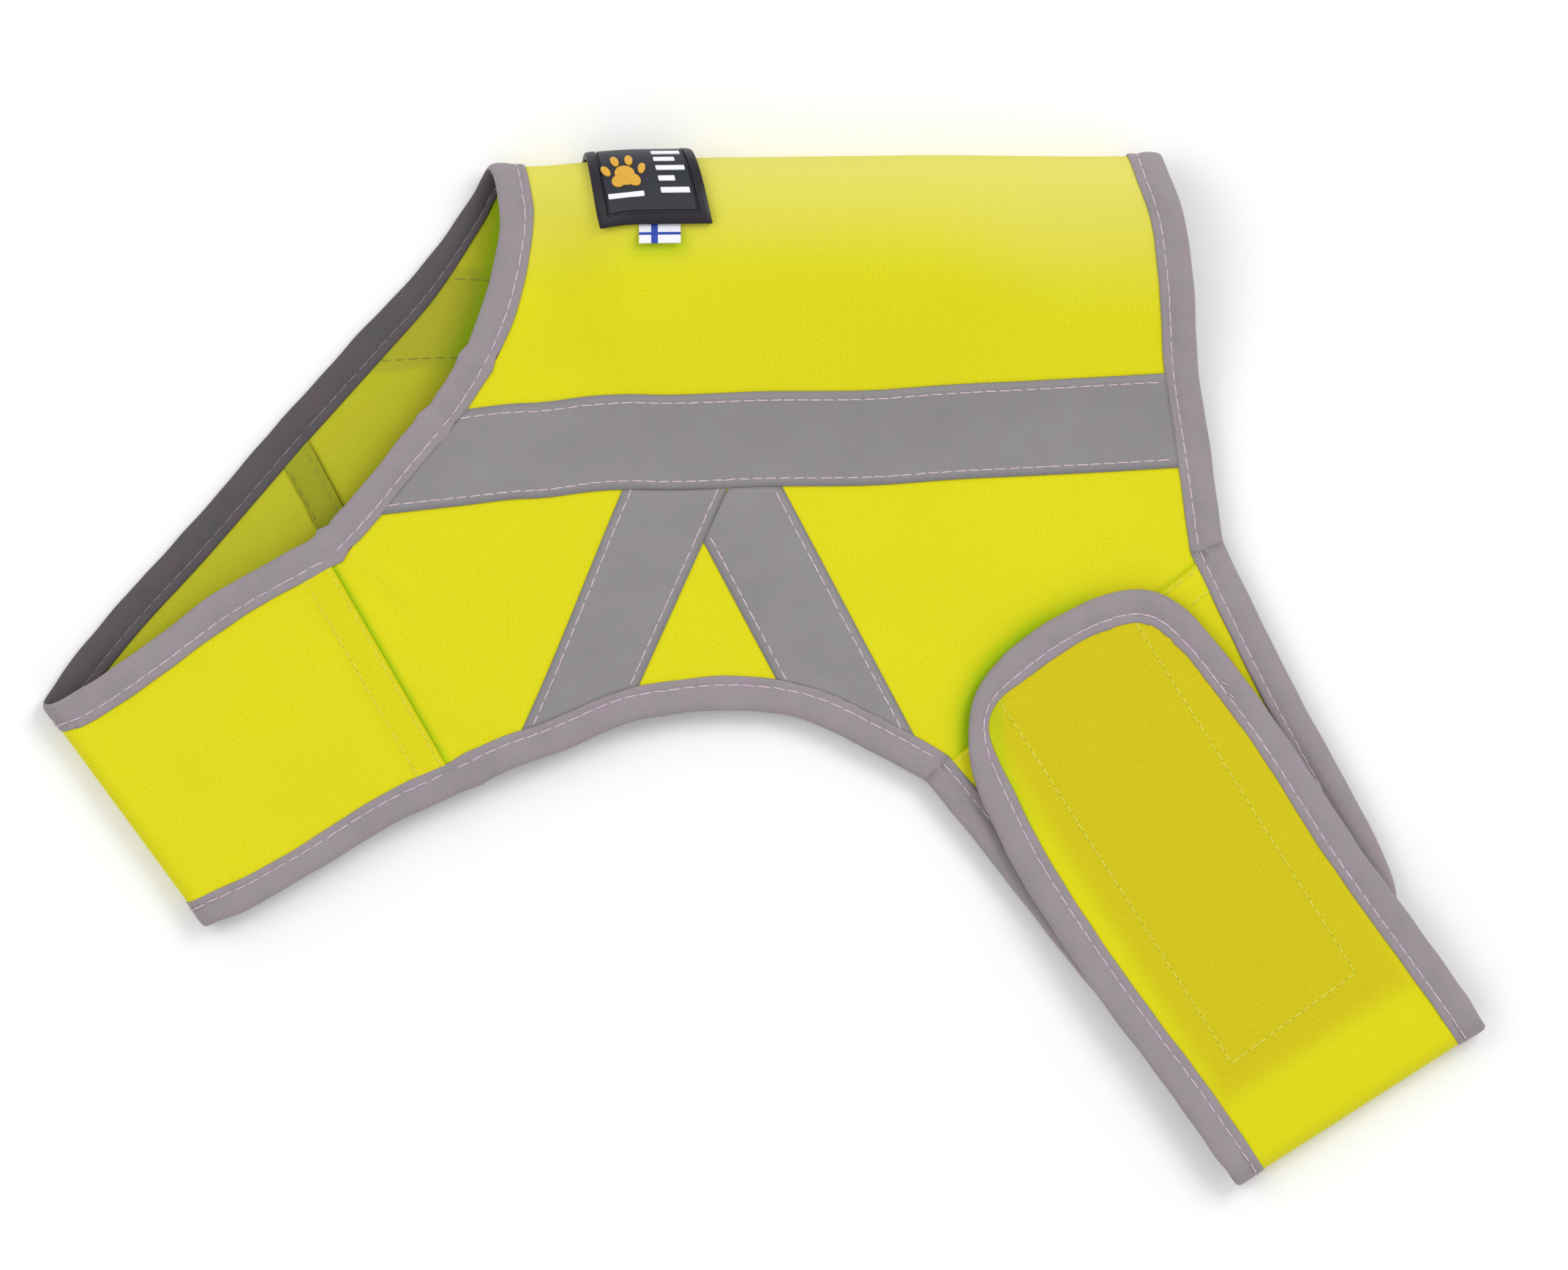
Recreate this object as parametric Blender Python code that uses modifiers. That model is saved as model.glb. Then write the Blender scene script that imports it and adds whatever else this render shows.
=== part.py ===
"""Dog safety vest, laid out flat on its side.

Every cut and sewn piece is a wall of its own. The cloth is folded over three
lines: softly over the back, and flat over the chest and the belly. Lengths
are in millimetres until a mesh is made. The surface that the vest lies on is
z = 0, and +Y points from the belly to the back.
"""

import math

import bpy
import bmesh
import numpy as np

# Thicknesses and the stack of layers
MM = 0.001
CLOTH = 1.2
TRIM = 1.0
SEAM = 0.3
JOINT = 0.6
TRIM_OFFSET = CLOTH / 2 + SEAM + TRIM / 2
LAYER = TRIM_OFFSET + TRIM / 2
Z_FAR = LAYER
Z_NEAR = Z_FAR + 2 * LAYER + SEAM
Z_TOP = Z_NEAR + 2 * LAYER + SEAM

# Moves the middle of the plan over the origin and the lowest edge to z = 0
TO_ORIGIN = (0.636, -0.492, 0.027)

# Edge binding, reflective tape, rubber label and ribbon tag
BINDING_DEPTH = 7.9
TAPE_WIDTH = 25.4
LABEL_THICK = 2.0
LOOSE_SEAM = 0.6
LABEL_TOP_X = (-47.6, -20.4)
LABEL_LOW_X = (-42.8, -14.4)
LABEL_ACROSS = (-8.0, 24.0)
LABEL_CELLS = (8, 12)
TAG_X = (-33.8, -22.8)
TAG_LENGTH = 4.6

# Back fold: its line, and the soft roll that stands up along it
SPINE_AT = (0.0, 136.0)
SPINE_SLOPE = 0.012
SPINE_DIP = 3.5
SPINE_REACH = (16.0, 12.0)
SPINE_TURN = (22.8, 18.1)
ROLL_AT_NECK = 15.0
ROLL_AT_MIDDLE = 25.5
ROLL_AT_REAR = 20.0
ROLL_RISE_X = (-64.0, -34.0)
ROLL_FALL_X = (36.0, 94.0)
ROLL_SETTLE = 70.0

# Chest and belly folds, each from one corner to the other
CHEST_FOLD = ((-186.7, -16.5), (-154.9, -59.8))
CHEST_REACH = 3.3
BELLY_FOLD = ((124.5, -137.3), (192.2, -94.0))
BELLY_REACH = (Z_TOP - Z_FAR) / 2

# Height of the near layer: flat under the belly strap, lifted at the neck
FRONT_RISE = 2.5
FRONT_RISE_X = (45.0, -60.0)
NECK_LIFT = 5.0
NECK_LIFT_AT = (-85.0, 68.0)
NECK_LIFT_REACH = 130.0

# Seams between the pieces, seen from above, each from its front end
CHEST_SEAM_NEAR = ((-119.2, 34.6), (-81.4, -31.4))
CHEST_SEAM_FAR = ((-126.5, 68.4), (-89.6, -1.2))
STRAP_SEAM_NEAR = ((43.5, -28.6), (120.7, 33.6))
STRAP_SEAM_FAR = ((42.4, -4.2), (108.2, 45.8))

# Neck and rear edges of the body seen from above, from seam to back fold
NECK_NEAR = (
    # x, y
    (-111.6, 42.6),
    (-98.8, 58.0),
    (-85.3, 74.8),
    (-76.6, 90.6),
    (-70.8, 110.0),
    (-69.5, 122.0),
    (-70.6, 129.0),
)
NECK_FAR = (
    # x, y
    (-105.8, 91.2),
    (-91.8, 106.2),
    (-80.7, 120.9),
    (-76.0, 128.6),
)
REAR_NEAR = (
    # x, y
    (117.3, 58.0),
    (113.9, 80.0),
    (112.0, 106.0),
    (109.2, 122.6),
    (106.0, 131.0),
)
REAR_FAR = (
    # x, y
    (106.8, 68.0),
    (106.6, 92.0),
    (104.0, 120.0),
)

# Leg arch of the body, seen from above
ARCH_NEAR = (
    # x, y
    (-67.3, -24.8),
    (-48.2, -17.4),
    (-28.7, -11.1),
    (-9.2, -9.3),
    (12.0, -12.5),
    (27.0, -19.6),
)
ARCH_FAR = (
    # x, y
    (-78.0, 2.0),
    (-56.0, 7.6),
    (-36.0, 11.6),
    (-18.0, 12.4),
    (4.0, 8.6),
    (24.0, 0.8),
)

# Chest band: rows from the near seam round the fold to the far seam
CHEST_ROWS = (
    # out from the fold, upper edge and lower edge along the fold
    (56.0, -4.8, 70.2),
    (32.0, -4.9, 68.0),
    (14.0, -5.4, 66.0),
    (3.5, -7.0, 64.0),
    (-3.5, -10.8, 62.0),
    (-30.0, -17.9, 57.2),
    (-58.0, -23.5, 51.2),
)

# Far belly strap: rows from its seam, under the vest, round the fold, on top
STRAP_FAR_ROWS = (
    # out from the fold, left edge and right edge along the fold
    (-110.0, 2.4, 79.6),
    (-50.0, 1.6, 76.4),
    (-6.5, 1.6, 78.6),
    (6.5, 1.4, 78.6),
    (30.0, 0.4, 77.4),
    (62.0, -1.9, 75.6),
    (97.0, -2.5, 75.6),
    (119.0, -0.5, 74.2),
    (130.0, 2.0, 72.6),
    (138.5, 6.2, 70.2),
    (144.5, 11.0, 66.2),
    (148.6, 17.0, 60.0),
    (151.0, 25.0, 51.5),
)

# Near belly strap: rows from its seam to its rounded end, under the far one
STRAP_NEAR_ROWS = (
    # out from the fold, left edge and right edge along the fold
    (111.0, -6.8, 84.9),
    (90.0, -5.0, 83.2),
    (62.0, -1.9, 81.2),
    (49.0, 1.2, 79.4),
    (41.0, 5.0, 76.4),
    (35.5, 11.5, 70.0),
    (32.5, 21.0, 60.0),
)

# Flank tapes: their middle lines, across the cloth from the back fold
FLANK_NEAR = (
    # x, across
    (-105.0, 82.9),
    (-82.0, 80.6),
    (-66.0, 79.0),
    (-52.0, 79.4),
    (-38.0, 81.2),
    (0.0, 81.0),
    (30.0, 80.9),
    (60.0, 78.4),
    (84.0, 76.2),
    (110.0, 74.8),
)
FLANK_FAR = (
    # x, across
    (-105.0, -43.4),
    (-85.0, -42.6),
    (-50.0, -46.0),
    (0.0, -54.0),
    (60.0, -60.5),
    (110.0, -66.0),
)

# Slanted tapes: their middle lines, from the flank tape to the leg arch
SLANT_FRONT_NEAR = ((-25.8, 95.0), (-52.2, 152.0))
SLANT_BACK_NEAR = ((-11.0, 94.0), (20.5, 155.0))
SLANT_FRONT_FAR = ((-34.0, -69.0), (-56.0, -128.0))
SLANT_BACK_FAR = ((-19.0, -69.0), (12.0, -132.0))

# Hook and loop panels of the belly closure, beside and out from the fold
HOOK_PANEL = ((15.5, 60.5), (26.5, 136.0))
LOOP_PANEL = ((15.0, 64.0), (46.0, 122.0))

# Number of cells in the walls
BODY_COLUMNS = (5, 17, 7)
BODY_ROWS = (13, 10, 7)
BAND_COLUMNS = 8
BAND_ROWS = (3, 2, 2, 2, 8, 3, 2, 3)
STRAP_COLUMNS = 7
STRAP_FAR_CELLS = (3, 3, 3, 6, 2, 2, 2, 2, 1, 1, 1, 1, 1)
STRAP_NEAR_CELLS = (2, 2, 2, 1, 1, 1, 1)
TAPE_CELLS = (30, 4)
SLANT_CELLS = (8, 4)
PANEL_CELLS = (2, 4)

# How the end of a tape is found: rounds, and cells added to the leg's line
MEET_ROUNDS = 6
LEG_LINE_MORE = 4

COLOURS = {
    "fabric": ((0.75, 0.72, 0.03), 0.85),
    "twill": ((0.66, 0.57, 0.04), 0.8),
    "binding": ((0.30, 0.27, 0.29), 0.75),
    "tape": ((0.31, 0.30, 0.30), 0.45),
    "panel": ((0.70, 0.66, 0.10), 0.95),
    "rubber": ((0.03, 0.03, 0.04), 0.5),
    "ribbon": ((0.80, 0.80, 0.80), 0.7),
}


def smooth(t):
    """Ease from 0 to 1."""
    t = min(max(t, 0.0), 1.0)
    return t * t * (3 - 2 * t)


def spline(xs, ys, x):
    """Smooth curve through the points, read at x."""
    order = np.argsort(xs)
    xs = np.asarray(xs, float)[order]
    ys = np.asarray(ys, float)[order]
    slopes = np.gradient(ys, xs)
    k = int(np.clip(np.searchsorted(xs, x) - 1, 0, len(xs) - 2))
    width = xs[k + 1] - xs[k]
    t = (x - xs[k]) / width
    rise = ys[k + 1] - ys[k]
    bend_a = slopes[k] * width - rise
    bend_b = rise - slopes[k + 1] * width
    return ys[k] + t * rise + t * (1 - t) * ((1 - t) * bend_a + t * bend_b)


def near_height(x, y):
    """Height of the middle of the near layer above the surface."""
    start, full = FRONT_RISE_X
    front = smooth((start - x) / (start - full))
    away = math.dist((x, y), NECK_LIFT_AT) / NECK_LIFT_REACH
    return Z_NEAR + FRONT_RISE * front + NECK_LIFT * max(0.0, 1 - away ** 2) ** 2


def roll_top(x):
    """Height of the middle of the cloth on top of the roll along the back."""
    up = smooth((x - ROLL_RISE_X[0]) / (ROLL_RISE_X[1] - ROLL_RISE_X[0]))
    down = smooth((x - ROLL_FALL_X[0]) / (ROLL_FALL_X[1] - ROLL_FALL_X[0]))
    front = ROLL_AT_NECK + (ROLL_AT_MIDDLE - ROLL_AT_NECK) * up
    return front + (ROLL_AT_REAR - ROLL_AT_MIDDLE) * down


def roll_size(x):
    """Size of the roll beside its full size."""
    return (roll_top(x) - Z_FAR) / (ROLL_AT_MIDDLE - Z_FAR)


def spine_top(x, y, across):
    low = near_height(x, y)
    settled = smooth((across - SPINE_TURN[0] * roll_size(x)) / ROLL_SETTLE)
    return low + (roll_top(x) - low) * (1 - settled)


class Fold:
    """Cloth folded over a line: near side on top, far side on the surface.

    A place on the cloth is (along, across): along the fold line, and across
    the cloth from the fold, above 0 on the near side and below 0 on the far.
    """

    def __init__(self, at, direction, cloth_side, reach, turn, top, size=None, dip=0.0):
        self.at = np.array(at)
        self.along = np.array(direction) / math.hypot(*direction)
        self.inward = cloth_side * np.array((self.along[1], -self.along[0]))
        self.cloth_side = cloth_side
        self.reach = reach
        self.turn = turn
        self.top = top
        self.size = size or (lambda along: 1.0)
        self.dip = dip

    def point(self, along, across):
        side = 0 if across >= 0 else 1
        size = self.size(along)
        turn = self.turn[side] * size
        angle = math.pi / 2 * min(abs(across) / turn, 1.0)
        flat = max(abs(across) - turn, 0.0)
        inside = self.reach[side] * size * (1 - math.cos(angle)) + flat + self.dip * (1 - size)
        x, y = self.at + self.along * along + self.inward * inside
        lift = math.sin(angle) * (1 if across >= 0 else -1)
        z = Z_FAR + (self.top(x, y, across) - Z_FAR) * (1 + lift) / 2
        return np.array((x, y, z))

    def slopes(self, along, across):
        step = 0.02
        by_along = self.point(along + step, across) - self.point(along - step, across)
        by_across = self.point(along, across + step) - self.point(along, across - step)
        return by_along / (2 * step), by_across / (2 * step)

    def normal(self, along, across):
        by_along, by_across = self.slopes(along, across)
        out = np.cross(by_across, by_along) * self.cloth_side
        return out / np.linalg.norm(out)

    def raised(self, along, across, offset):
        """A place above (or below) the middle of the cloth."""
        return self.point(along, across) + self.normal(along, across) * offset

    def across_of(self, inside, side, along=0.0):
        """How far across the cloth a place is that lies inside the fold line."""
        size = self.size(along)
        reach = self.reach[side] * size
        turn = self.turn[side] * size
        inside = max(inside - self.dip * (1 - size), 0.0)
        if inside < reach:
            distance = turn * math.acos(1 - inside / reach) / (math.pi / 2)
        else:
            distance = turn + inside - reach
        return distance if side == 0 else -distance

    def place(self, x, y, side):
        """The place on the cloth at (x, y), on the near (0) or far (1) side."""
        v = np.array((x, y)) - self.at
        along = v @ self.along
        return np.array((along, self.across_of(v @ self.inward, side, along)))

    def step_in(self, place, direction, distance):
        """Go over the cloth from a place, in a direction given in space.

        Where the cloth turns over, the step keeps along the fold, because the
        cloth is straight that way.
        """
        slopes = np.array(self.slopes(*place)).T
        along, across = np.linalg.lstsq(slopes, direction, rcond=None)[0]
        side = 0 if place[1] >= 0 else 1
        if abs(place[1]) < 1.02 * self.turn[side] * self.size(place[0]):
            return place + np.array((distance / along, 0.0))
        return place + np.array((along, across)) * distance


def folded_line(line, reach, cloth_side, top):
    (x0, y0), (x1, y1) = line
    turn = math.pi / 2 * reach
    return Fold(line[0], (x1 - x0, y1 - y0), cloth_side, (reach, reach), (turn, turn), top)


spine = Fold(SPINE_AT, (1.0, SPINE_SLOPE), 1, SPINE_REACH, SPINE_TURN, spine_top,
             roll_size, SPINE_DIP)
chest = folded_line(CHEST_FOLD, CHEST_REACH, -1, lambda x, y, across: near_height(x, y))
belly = folded_line(BELLY_FOLD, BELLY_REACH, -1, lambda x, y, across: Z_TOP)
under = folded_line(BELLY_FOLD, BELLY_REACH, -1, lambda x, y, across: Z_NEAR)


def seam_places(fold, line, side, gap, count):
    """Places along a seam, moved by a gap to the left of its direction."""
    a, b = (np.array(end) for end in line)
    d = (b - a) / np.linalg.norm(b - a)
    beside = np.array((-d[1], d[0])) * gap
    return [fold.place(*(point + beside), side) for point in between(a, b, count)]


def between(a, b, count):
    return [a + (b - a) * k / count for k in range(count + 1)]


def arch_places(table, side, start, end, count):
    """Places along a leg arch, from the chest seam to the strap seam."""
    inner = [spine.place(x, y, side) for x, y in table]
    rows = [start] + inner + [end]
    xs = [row[0] for row in rows]
    ys = [row[1] for row in rows]
    along = np.linspace(xs[0], xs[-1], count + 1)
    return [np.array((x, spline(xs, ys, x))) for x in along]


def lower_edge(side):
    """Lower edge of the body: chest seam, leg arch and strap seam."""
    chest_seam, arch, strap_seam = (
        (CHEST_SEAM_NEAR, ARCH_NEAR, STRAP_SEAM_NEAR) if side == 0
        else (CHEST_SEAM_FAR, ARCH_FAR, STRAP_SEAM_FAR))
    front = seam_places(spine, chest_seam, side, SEAM / 2, BODY_COLUMNS[0])
    back = seam_places(spine, strap_seam, side, SEAM / 2, BODY_COLUMNS[2])
    middle = arch_places(arch, side, front[-1], back[0], BODY_COLUMNS[1])
    return front[:-1] + middle + back[1:]


def side_edge(near_table, far_table, near_corner, far_corner):
    """A neck or rear edge, as a function of the place across the cloth."""
    rows = [near_corner] + [spine.place(x, y, 0) for x, y in near_table]
    rows += [spine.place(x, y, 1) for x, y in far_table] + [far_corner]
    along = [row[0] for row in rows]
    across = [row[1] for row in rows]
    return lambda a: spline(across, along, a)


def coons(bottom, top, left, right):
    """Places between four edges that meet at their corners."""
    columns = len(bottom) - 1
    rows = len(left) - 1
    grid = np.zeros((columns + 1, rows + 1, 2))
    for i in range(columns + 1):
        for j in range(rows + 1):
            u = i / columns
            v = j / rows
            corners = ((1 - u) * ((1 - v) * bottom[0] + v * top[0])
                       + u * ((1 - v) * bottom[-1] + v * top[-1]))
            grid[i, j] = ((1 - v) * bottom[i] + v * top[i]
                          + (1 - u) * left[j] + u * right[j] - corners)
    return grid


def body_places():
    """Grid of places over the body: near side, back fold, far side."""
    near = lower_edge(0)
    far = lower_edge(1)
    neck = side_edge(NECK_NEAR, NECK_FAR, near[0], far[0])
    rear = side_edge(REAR_NEAR, REAR_FAR, near[-1], far[-1])
    columns = sum(BODY_COLUMNS)

    def roll_line(share):
        """Places along the roll, at a share of the turn of one side."""
        turn = SPINE_TURN[0] if share >= 0 else SPINE_TURN[1]
        front = neck(share * turn * roll_size(NECK_NEAR[-1][0]))
        back = rear(share * turn * roll_size(REAR_NEAR[-1][0]))
        return [np.array((x, share * turn * roll_size(x)))
                for x in np.linspace(front, back, columns + 1)]

    def side_rows(edge, a, b, count):
        return [np.array((edge(t), t)) for t in np.linspace(a, b, count + 1)]

    near_line, far_line = roll_line(1.0), roll_line(-1.0)
    near_part = coons(near, near_line,
                      side_rows(neck, near[0][1], near_line[0][1], BODY_ROWS[0]),
                      side_rows(rear, near[-1][1], near_line[-1][1], BODY_ROWS[0]))
    far_part = coons(far_line, far,
                     side_rows(neck, far_line[0][1], far[0][1], BODY_ROWS[2]),
                     side_rows(rear, far_line[-1][1], far[-1][1], BODY_ROWS[2]))
    shares = np.linspace(1, -1, BODY_ROWS[1] + 1)
    roll = np.stack([np.array(roll_line(share)) for share in shares[1:-1]], axis=1)
    return np.concatenate([near_part, roll, far_part], axis=1)


def strip_places(rows, counts, columns):
    """Grid of places over a strip, from rows of edge places, spline-smoothed."""
    t_rows = range(len(rows))
    values = np.array([np.concatenate(row) for row in rows])
    steps = [0.0]
    for k, count in enumerate(counts):
        steps += [k + (n + 1) / count for n in range(count)]
    grid = np.zeros((columns + 1, len(steps), 2))
    for j, t in enumerate(steps):
        left = np.array([spline(t_rows, values[:, c], t) for c in (0, 1)])
        right = np.array([spline(t_rows, values[:, c], t) for c in (2, 3)])
        for i in range(columns + 1):
            grid[i, j] = left + (right - left) * i / columns
    return grid


def edge_rows(fold, table):
    """Rows of a strip table as pairs of places on the cloth."""
    rows = []
    for out, first, second in table:
        side = 0 if out >= 0 else 1
        across = fold.across_of(abs(out), side)
        rows.append((np.array((first, across)), np.array((second, across))))
    return rows


def chest_places():
    near = seam_places(chest, CHEST_SEAM_NEAR, 0, -SEAM / 2, 1)
    far = seam_places(chest, CHEST_SEAM_FAR, 1, -SEAM / 2, 1)
    rows = [near] + edge_rows(chest, CHEST_ROWS) + [far]
    return strip_places(rows, BAND_ROWS, BAND_COLUMNS)


def strap_far_places():
    seam = seam_places(belly, STRAP_SEAM_FAR, 1, -SEAM / 2, 1)
    rows = [seam] + edge_rows(belly, STRAP_FAR_ROWS)
    return strip_places(rows, STRAP_FAR_CELLS, STRAP_COLUMNS)


def strap_near_places():
    seam = seam_places(under, STRAP_SEAM_NEAR, 0, -SEAM / 2, 1)
    rows = [seam] + edge_rows(under, STRAP_NEAR_ROWS)
    return strip_places(rows, STRAP_NEAR_CELLS, STRAP_COLUMNS)


def material(name):
    made = bpy.data.materials.get(name)
    if made:
        return made
    colour, roughness = COLOURS[name]
    made = bpy.data.materials.new(name)
    made.use_nodes = True
    shader = made.node_tree.nodes["Principled BSDF"]
    shader.inputs["Base Color"].default_value = (*colour, 1.0)
    shader.inputs["Roughness"].default_value = roughness
    shader.inputs["Metallic"].default_value = 0.0
    return made


def wall(name, points, thickness, material_name, ring=False):
    """A sheet through a grid of points, given its thickness by Solidify."""
    points = points + np.array(TO_ORIGIN)
    columns, rows = points.shape[:2]
    mesh = bpy.data.meshes.new(name)
    bm = bmesh.new()
    grid = [[bm.verts.new(points[i, j] * MM) for j in range(rows)] for i in range(columns)]
    last = columns if ring else columns - 1
    for i in range(last):
        here, beside = grid[i], grid[(i + 1) % columns]
        for j in range(rows - 1):
            bm.faces.new((here[j], beside[j], beside[j + 1], here[j + 1]))
    bmesh.ops.recalc_face_normals(bm, faces=bm.faces)
    bm.to_mesh(mesh)
    bm.free()
    mesh.shade_smooth()
    piece = bpy.data.objects.new(name, mesh)
    pieces.objects.link(piece)
    mesh.materials.append(material(material_name))
    shell = piece.modifiers.new("Cloth thickness", "SOLIDIFY")
    shell.thickness = thickness * MM
    shell.offset = 0.0
    shell.use_even_offset = True
    return piece


def cloth(name, fold, places, material_name):
    points = np.array([[fold.point(*place) for place in column] for column in places])
    return wall(name, points, CLOTH, material_name)


def on_cloth(name, fold, places, offset, thickness, material_name):
    """A piece that lies on a panel, made from the panel's points moved out."""
    points = np.array([[fold.raised(*place, offset) for place in column] for column in places])
    return wall(name, points, thickness, material_name)


class Edge:
    """A run of cloth edges that a binding covers.

    A step is (fold, places, at, inside): the grid of places of a piece, the
    index of the edge and the index of the grid's next line, which is moved to
    the binding's depth so that cloth and binding bend together.
    """

    def __init__(self, steps):
        self.steps = steps
        places = [(fold, grid[at]) for fold, grid, at, inside in steps]
        self.points = np.array([fold.point(*place) for fold, place in places])
        self.normals = np.array([fold.normal(*place) for fold, place in places])
        ahead = np.roll(self.points, -1, axis=0) - np.roll(self.points, 1, axis=0)
        self.tangents = ahead / np.linalg.norm(ahead, axis=1)[:, None]
        out = np.cross(self.tangents, self.normals)
        self.outward = out / np.linalg.norm(out, axis=1)[:, None]
        for k, (fold, grid, at, inside) in enumerate(steps):
            if inside is not None:
                grid[inside] = self.inner(k, BINDING_DEPTH)

    def inner(self, k, depth):
        """Place on the cloth that far inside the edge."""
        fold, grid, at, inside = self.steps[k]
        return fold.step_in(grid[at], -self.outward[k], depth)

    def section(self, k, shift=0.0):
        """The binding's middle, folded round the cloth's edge as a U."""
        fold = self.steps[k][0]
        place = self.inner(k, BINDING_DEPTH)
        point = self.points[k]
        side = self.outward[k]
        up = self.normals[k]
        bend = (0.1, TRIM_OFFSET), (0.85, 0.75), (0.85, -0.75), (0.1, -TRIM_OFFSET)
        rows = [fold.raised(*place, TRIM_OFFSET)]
        rows += [point + side * out + up * above for out, above in bend]
        rows.append(fold.raised(*place, -TRIM_OFFSET))
        return np.array(rows) + self.tangents[k] * shift


def binding(name, edge, first, last):
    """A binding over the steps from first to last of a run of edges."""
    count = len(edge.steps)
    rows = []
    for k in range(first, last + 1):
        shift = JOINT / 2 if k == first else -JOINT / 2 if k == last else 0.0
        rows.append(edge.section(k % count, shift))
    return wall(name, np.array(rows), TRIM, "binding")


def column_steps(fold, grid, column, rows, tucked=True):
    """Steps along a first or last column of a grid."""
    beside = 1 if column == 0 else column - 1
    return [(fold, grid, (column, j), (beside, j) if tucked else None) for j in rows]


def neck_run(body, band):
    """The neck edge, down the near side, round the chest and up the far side."""
    middle = BODY_ROWS[0] + BODY_ROWS[1] // 2
    last = body.shape[1] - 1
    steps = column_steps(spine, body, 0, range(middle, 0, -1))
    steps += column_steps(spine, body, 0, [0], tucked=False)
    steps += column_steps(chest, band, 0, range(1, band.shape[1] - 1))
    steps += column_steps(spine, body, 0, [last], tucked=False)
    steps += column_steps(spine, body, 0, range(last - 1, middle, -1))
    return Edge(steps)


def outer_run(body, band, near_strap, far_strap):
    """The other edge: near strap, rear, far strap, far leg, chest, near leg."""
    chest_end = BODY_COLUMNS[0]
    arch_end = chest_end + BODY_COLUMNS[1]
    right = STRAP_COLUMNS
    starts = {}
    steps = []

    def strap_steps(fold, grid, columns, across):
        """Down the first column, along the rounded end and back up the other."""
        rows = range(grid.shape[1])
        end = grid.shape[1] - 1
        made = column_steps(fold, grid, columns[0], rows, tucked=False)
        made += [(fold, grid, (i, end), None) for i in across]
        return made + column_steps(fold, grid, columns[1], reversed(rows), tucked=False)

    starts["strap_near"] = len(steps)
    steps += strap_steps(under, near_strap, (0, right), range(1, right))
    starts["rear"] = len(steps)
    steps += column_steps(spine, body, sum(BODY_COLUMNS), range(1, body.shape[1] - 1))
    starts["strap_far"] = len(steps)
    steps += strap_steps(belly, far_strap, (right, 0), range(right - 1, 0, -1))
    starts["leg"] = len(steps)
    last = body.shape[1] - 1
    steps += [(spine, body, (i, last), (i, last - 1)) for i in range(arch_end - 1, chest_end, -1)]
    band_end = band.shape[1] - 1
    steps += column_steps(chest, band, BAND_COLUMNS, [band_end], tucked=False)
    steps += column_steps(chest, band, BAND_COLUMNS, range(band_end - 1, 0, -1))
    steps += column_steps(chest, band, BAND_COLUMNS, [0], tucked=False)
    steps += [(spine, body, (i, 0), (i, 1)) for i in range(chest_end + 1, arch_end)]
    starts["end"] = len(steps)
    return Edge(steps), starts


def inside_line(edge, first, last, side, depth):
    """Places on one side of the body, at a depth inside some steps of its edge."""
    rows = []
    for k in range(first, last):
        fold, grid, at, inside = edge.steps[k]
        if fold is spine and (grid[at][1] > 0) == (side == 0):
            rows.append(edge.inner(k, depth))
    return np.array(rows)


def tape_offset(side):
    """The near cloth is curved, so its tapes keep a little more clear of it."""
    return CLOTH / 2 + TRIM / 2 + (LOOSE_SEAM if side == 0 else SEAM)


def across_on(table, x):
    """Where the middle line of a flank tape is, across the cloth."""
    return spline([row[0] for row in table], [row[1] for row in table], x)


def flank_tape(name, side, table, front, back):
    """Tape along the flank, cut off at the neck and rear bindings."""
    front = front[np.argsort(front[:, 1])]
    back = back[np.argsort(back[:, 1])]
    grid = []
    for offset in np.linspace(-TAPE_WIDTH / 2, TAPE_WIDTH / 2, TAPE_CELLS[1] + 1):
        ends = []
        for edge, x in ((front, table[0][0]), (back, table[-1][0])):
            for _ in range(MEET_ROUNDS):
                x = np.interp(across_on(table, x) + offset, edge[:, 1], edge[:, 0])
            ends.append(x)
        line = np.linspace(ends[0], ends[1], TAPE_CELLS[0] + 1)
        grid.append([np.array((x, across_on(table, x) + offset)) for x in line])
    return on_cloth(name, spine, grid, tape_offset(side), TRIM, "tape")


def crossing(start, direction, line):
    """How far along a straight line it first meets a line of places."""
    best = math.inf
    for a, b in zip(line, line[1:]):
        t, share = np.linalg.solve(np.array((direction, a - b)).T, a - start)
        if 0 <= share <= 1 and 0 < t < best:
            best = t
    return best


def slanted_tape(name, side, middle, top_lines, leg_line):
    """Slanted tape, cut off above at the tapes it meets and below at the leg."""
    start, end = np.array(middle[0]), np.array(middle[1])
    direction = (end - start) / np.linalg.norm(end - start)
    across = np.array((-direction[1], direction[0]))
    grid = []
    for offset in np.linspace(-TAPE_WIDTH / 2, TAPE_WIDTH / 2, SLANT_CELLS[1] + 1):
        origin = (start + end) / 2 + across * offset
        up = min(crossing(origin, -direction, line) for line in top_lines)
        down = crossing(origin, direction, leg_line)
        grid.append(between(origin - direction * up, origin + direction * down, SLANT_CELLS[0]))
    return on_cloth(name, spine, grid, tape_offset(side), TRIM, "tape")


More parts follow.
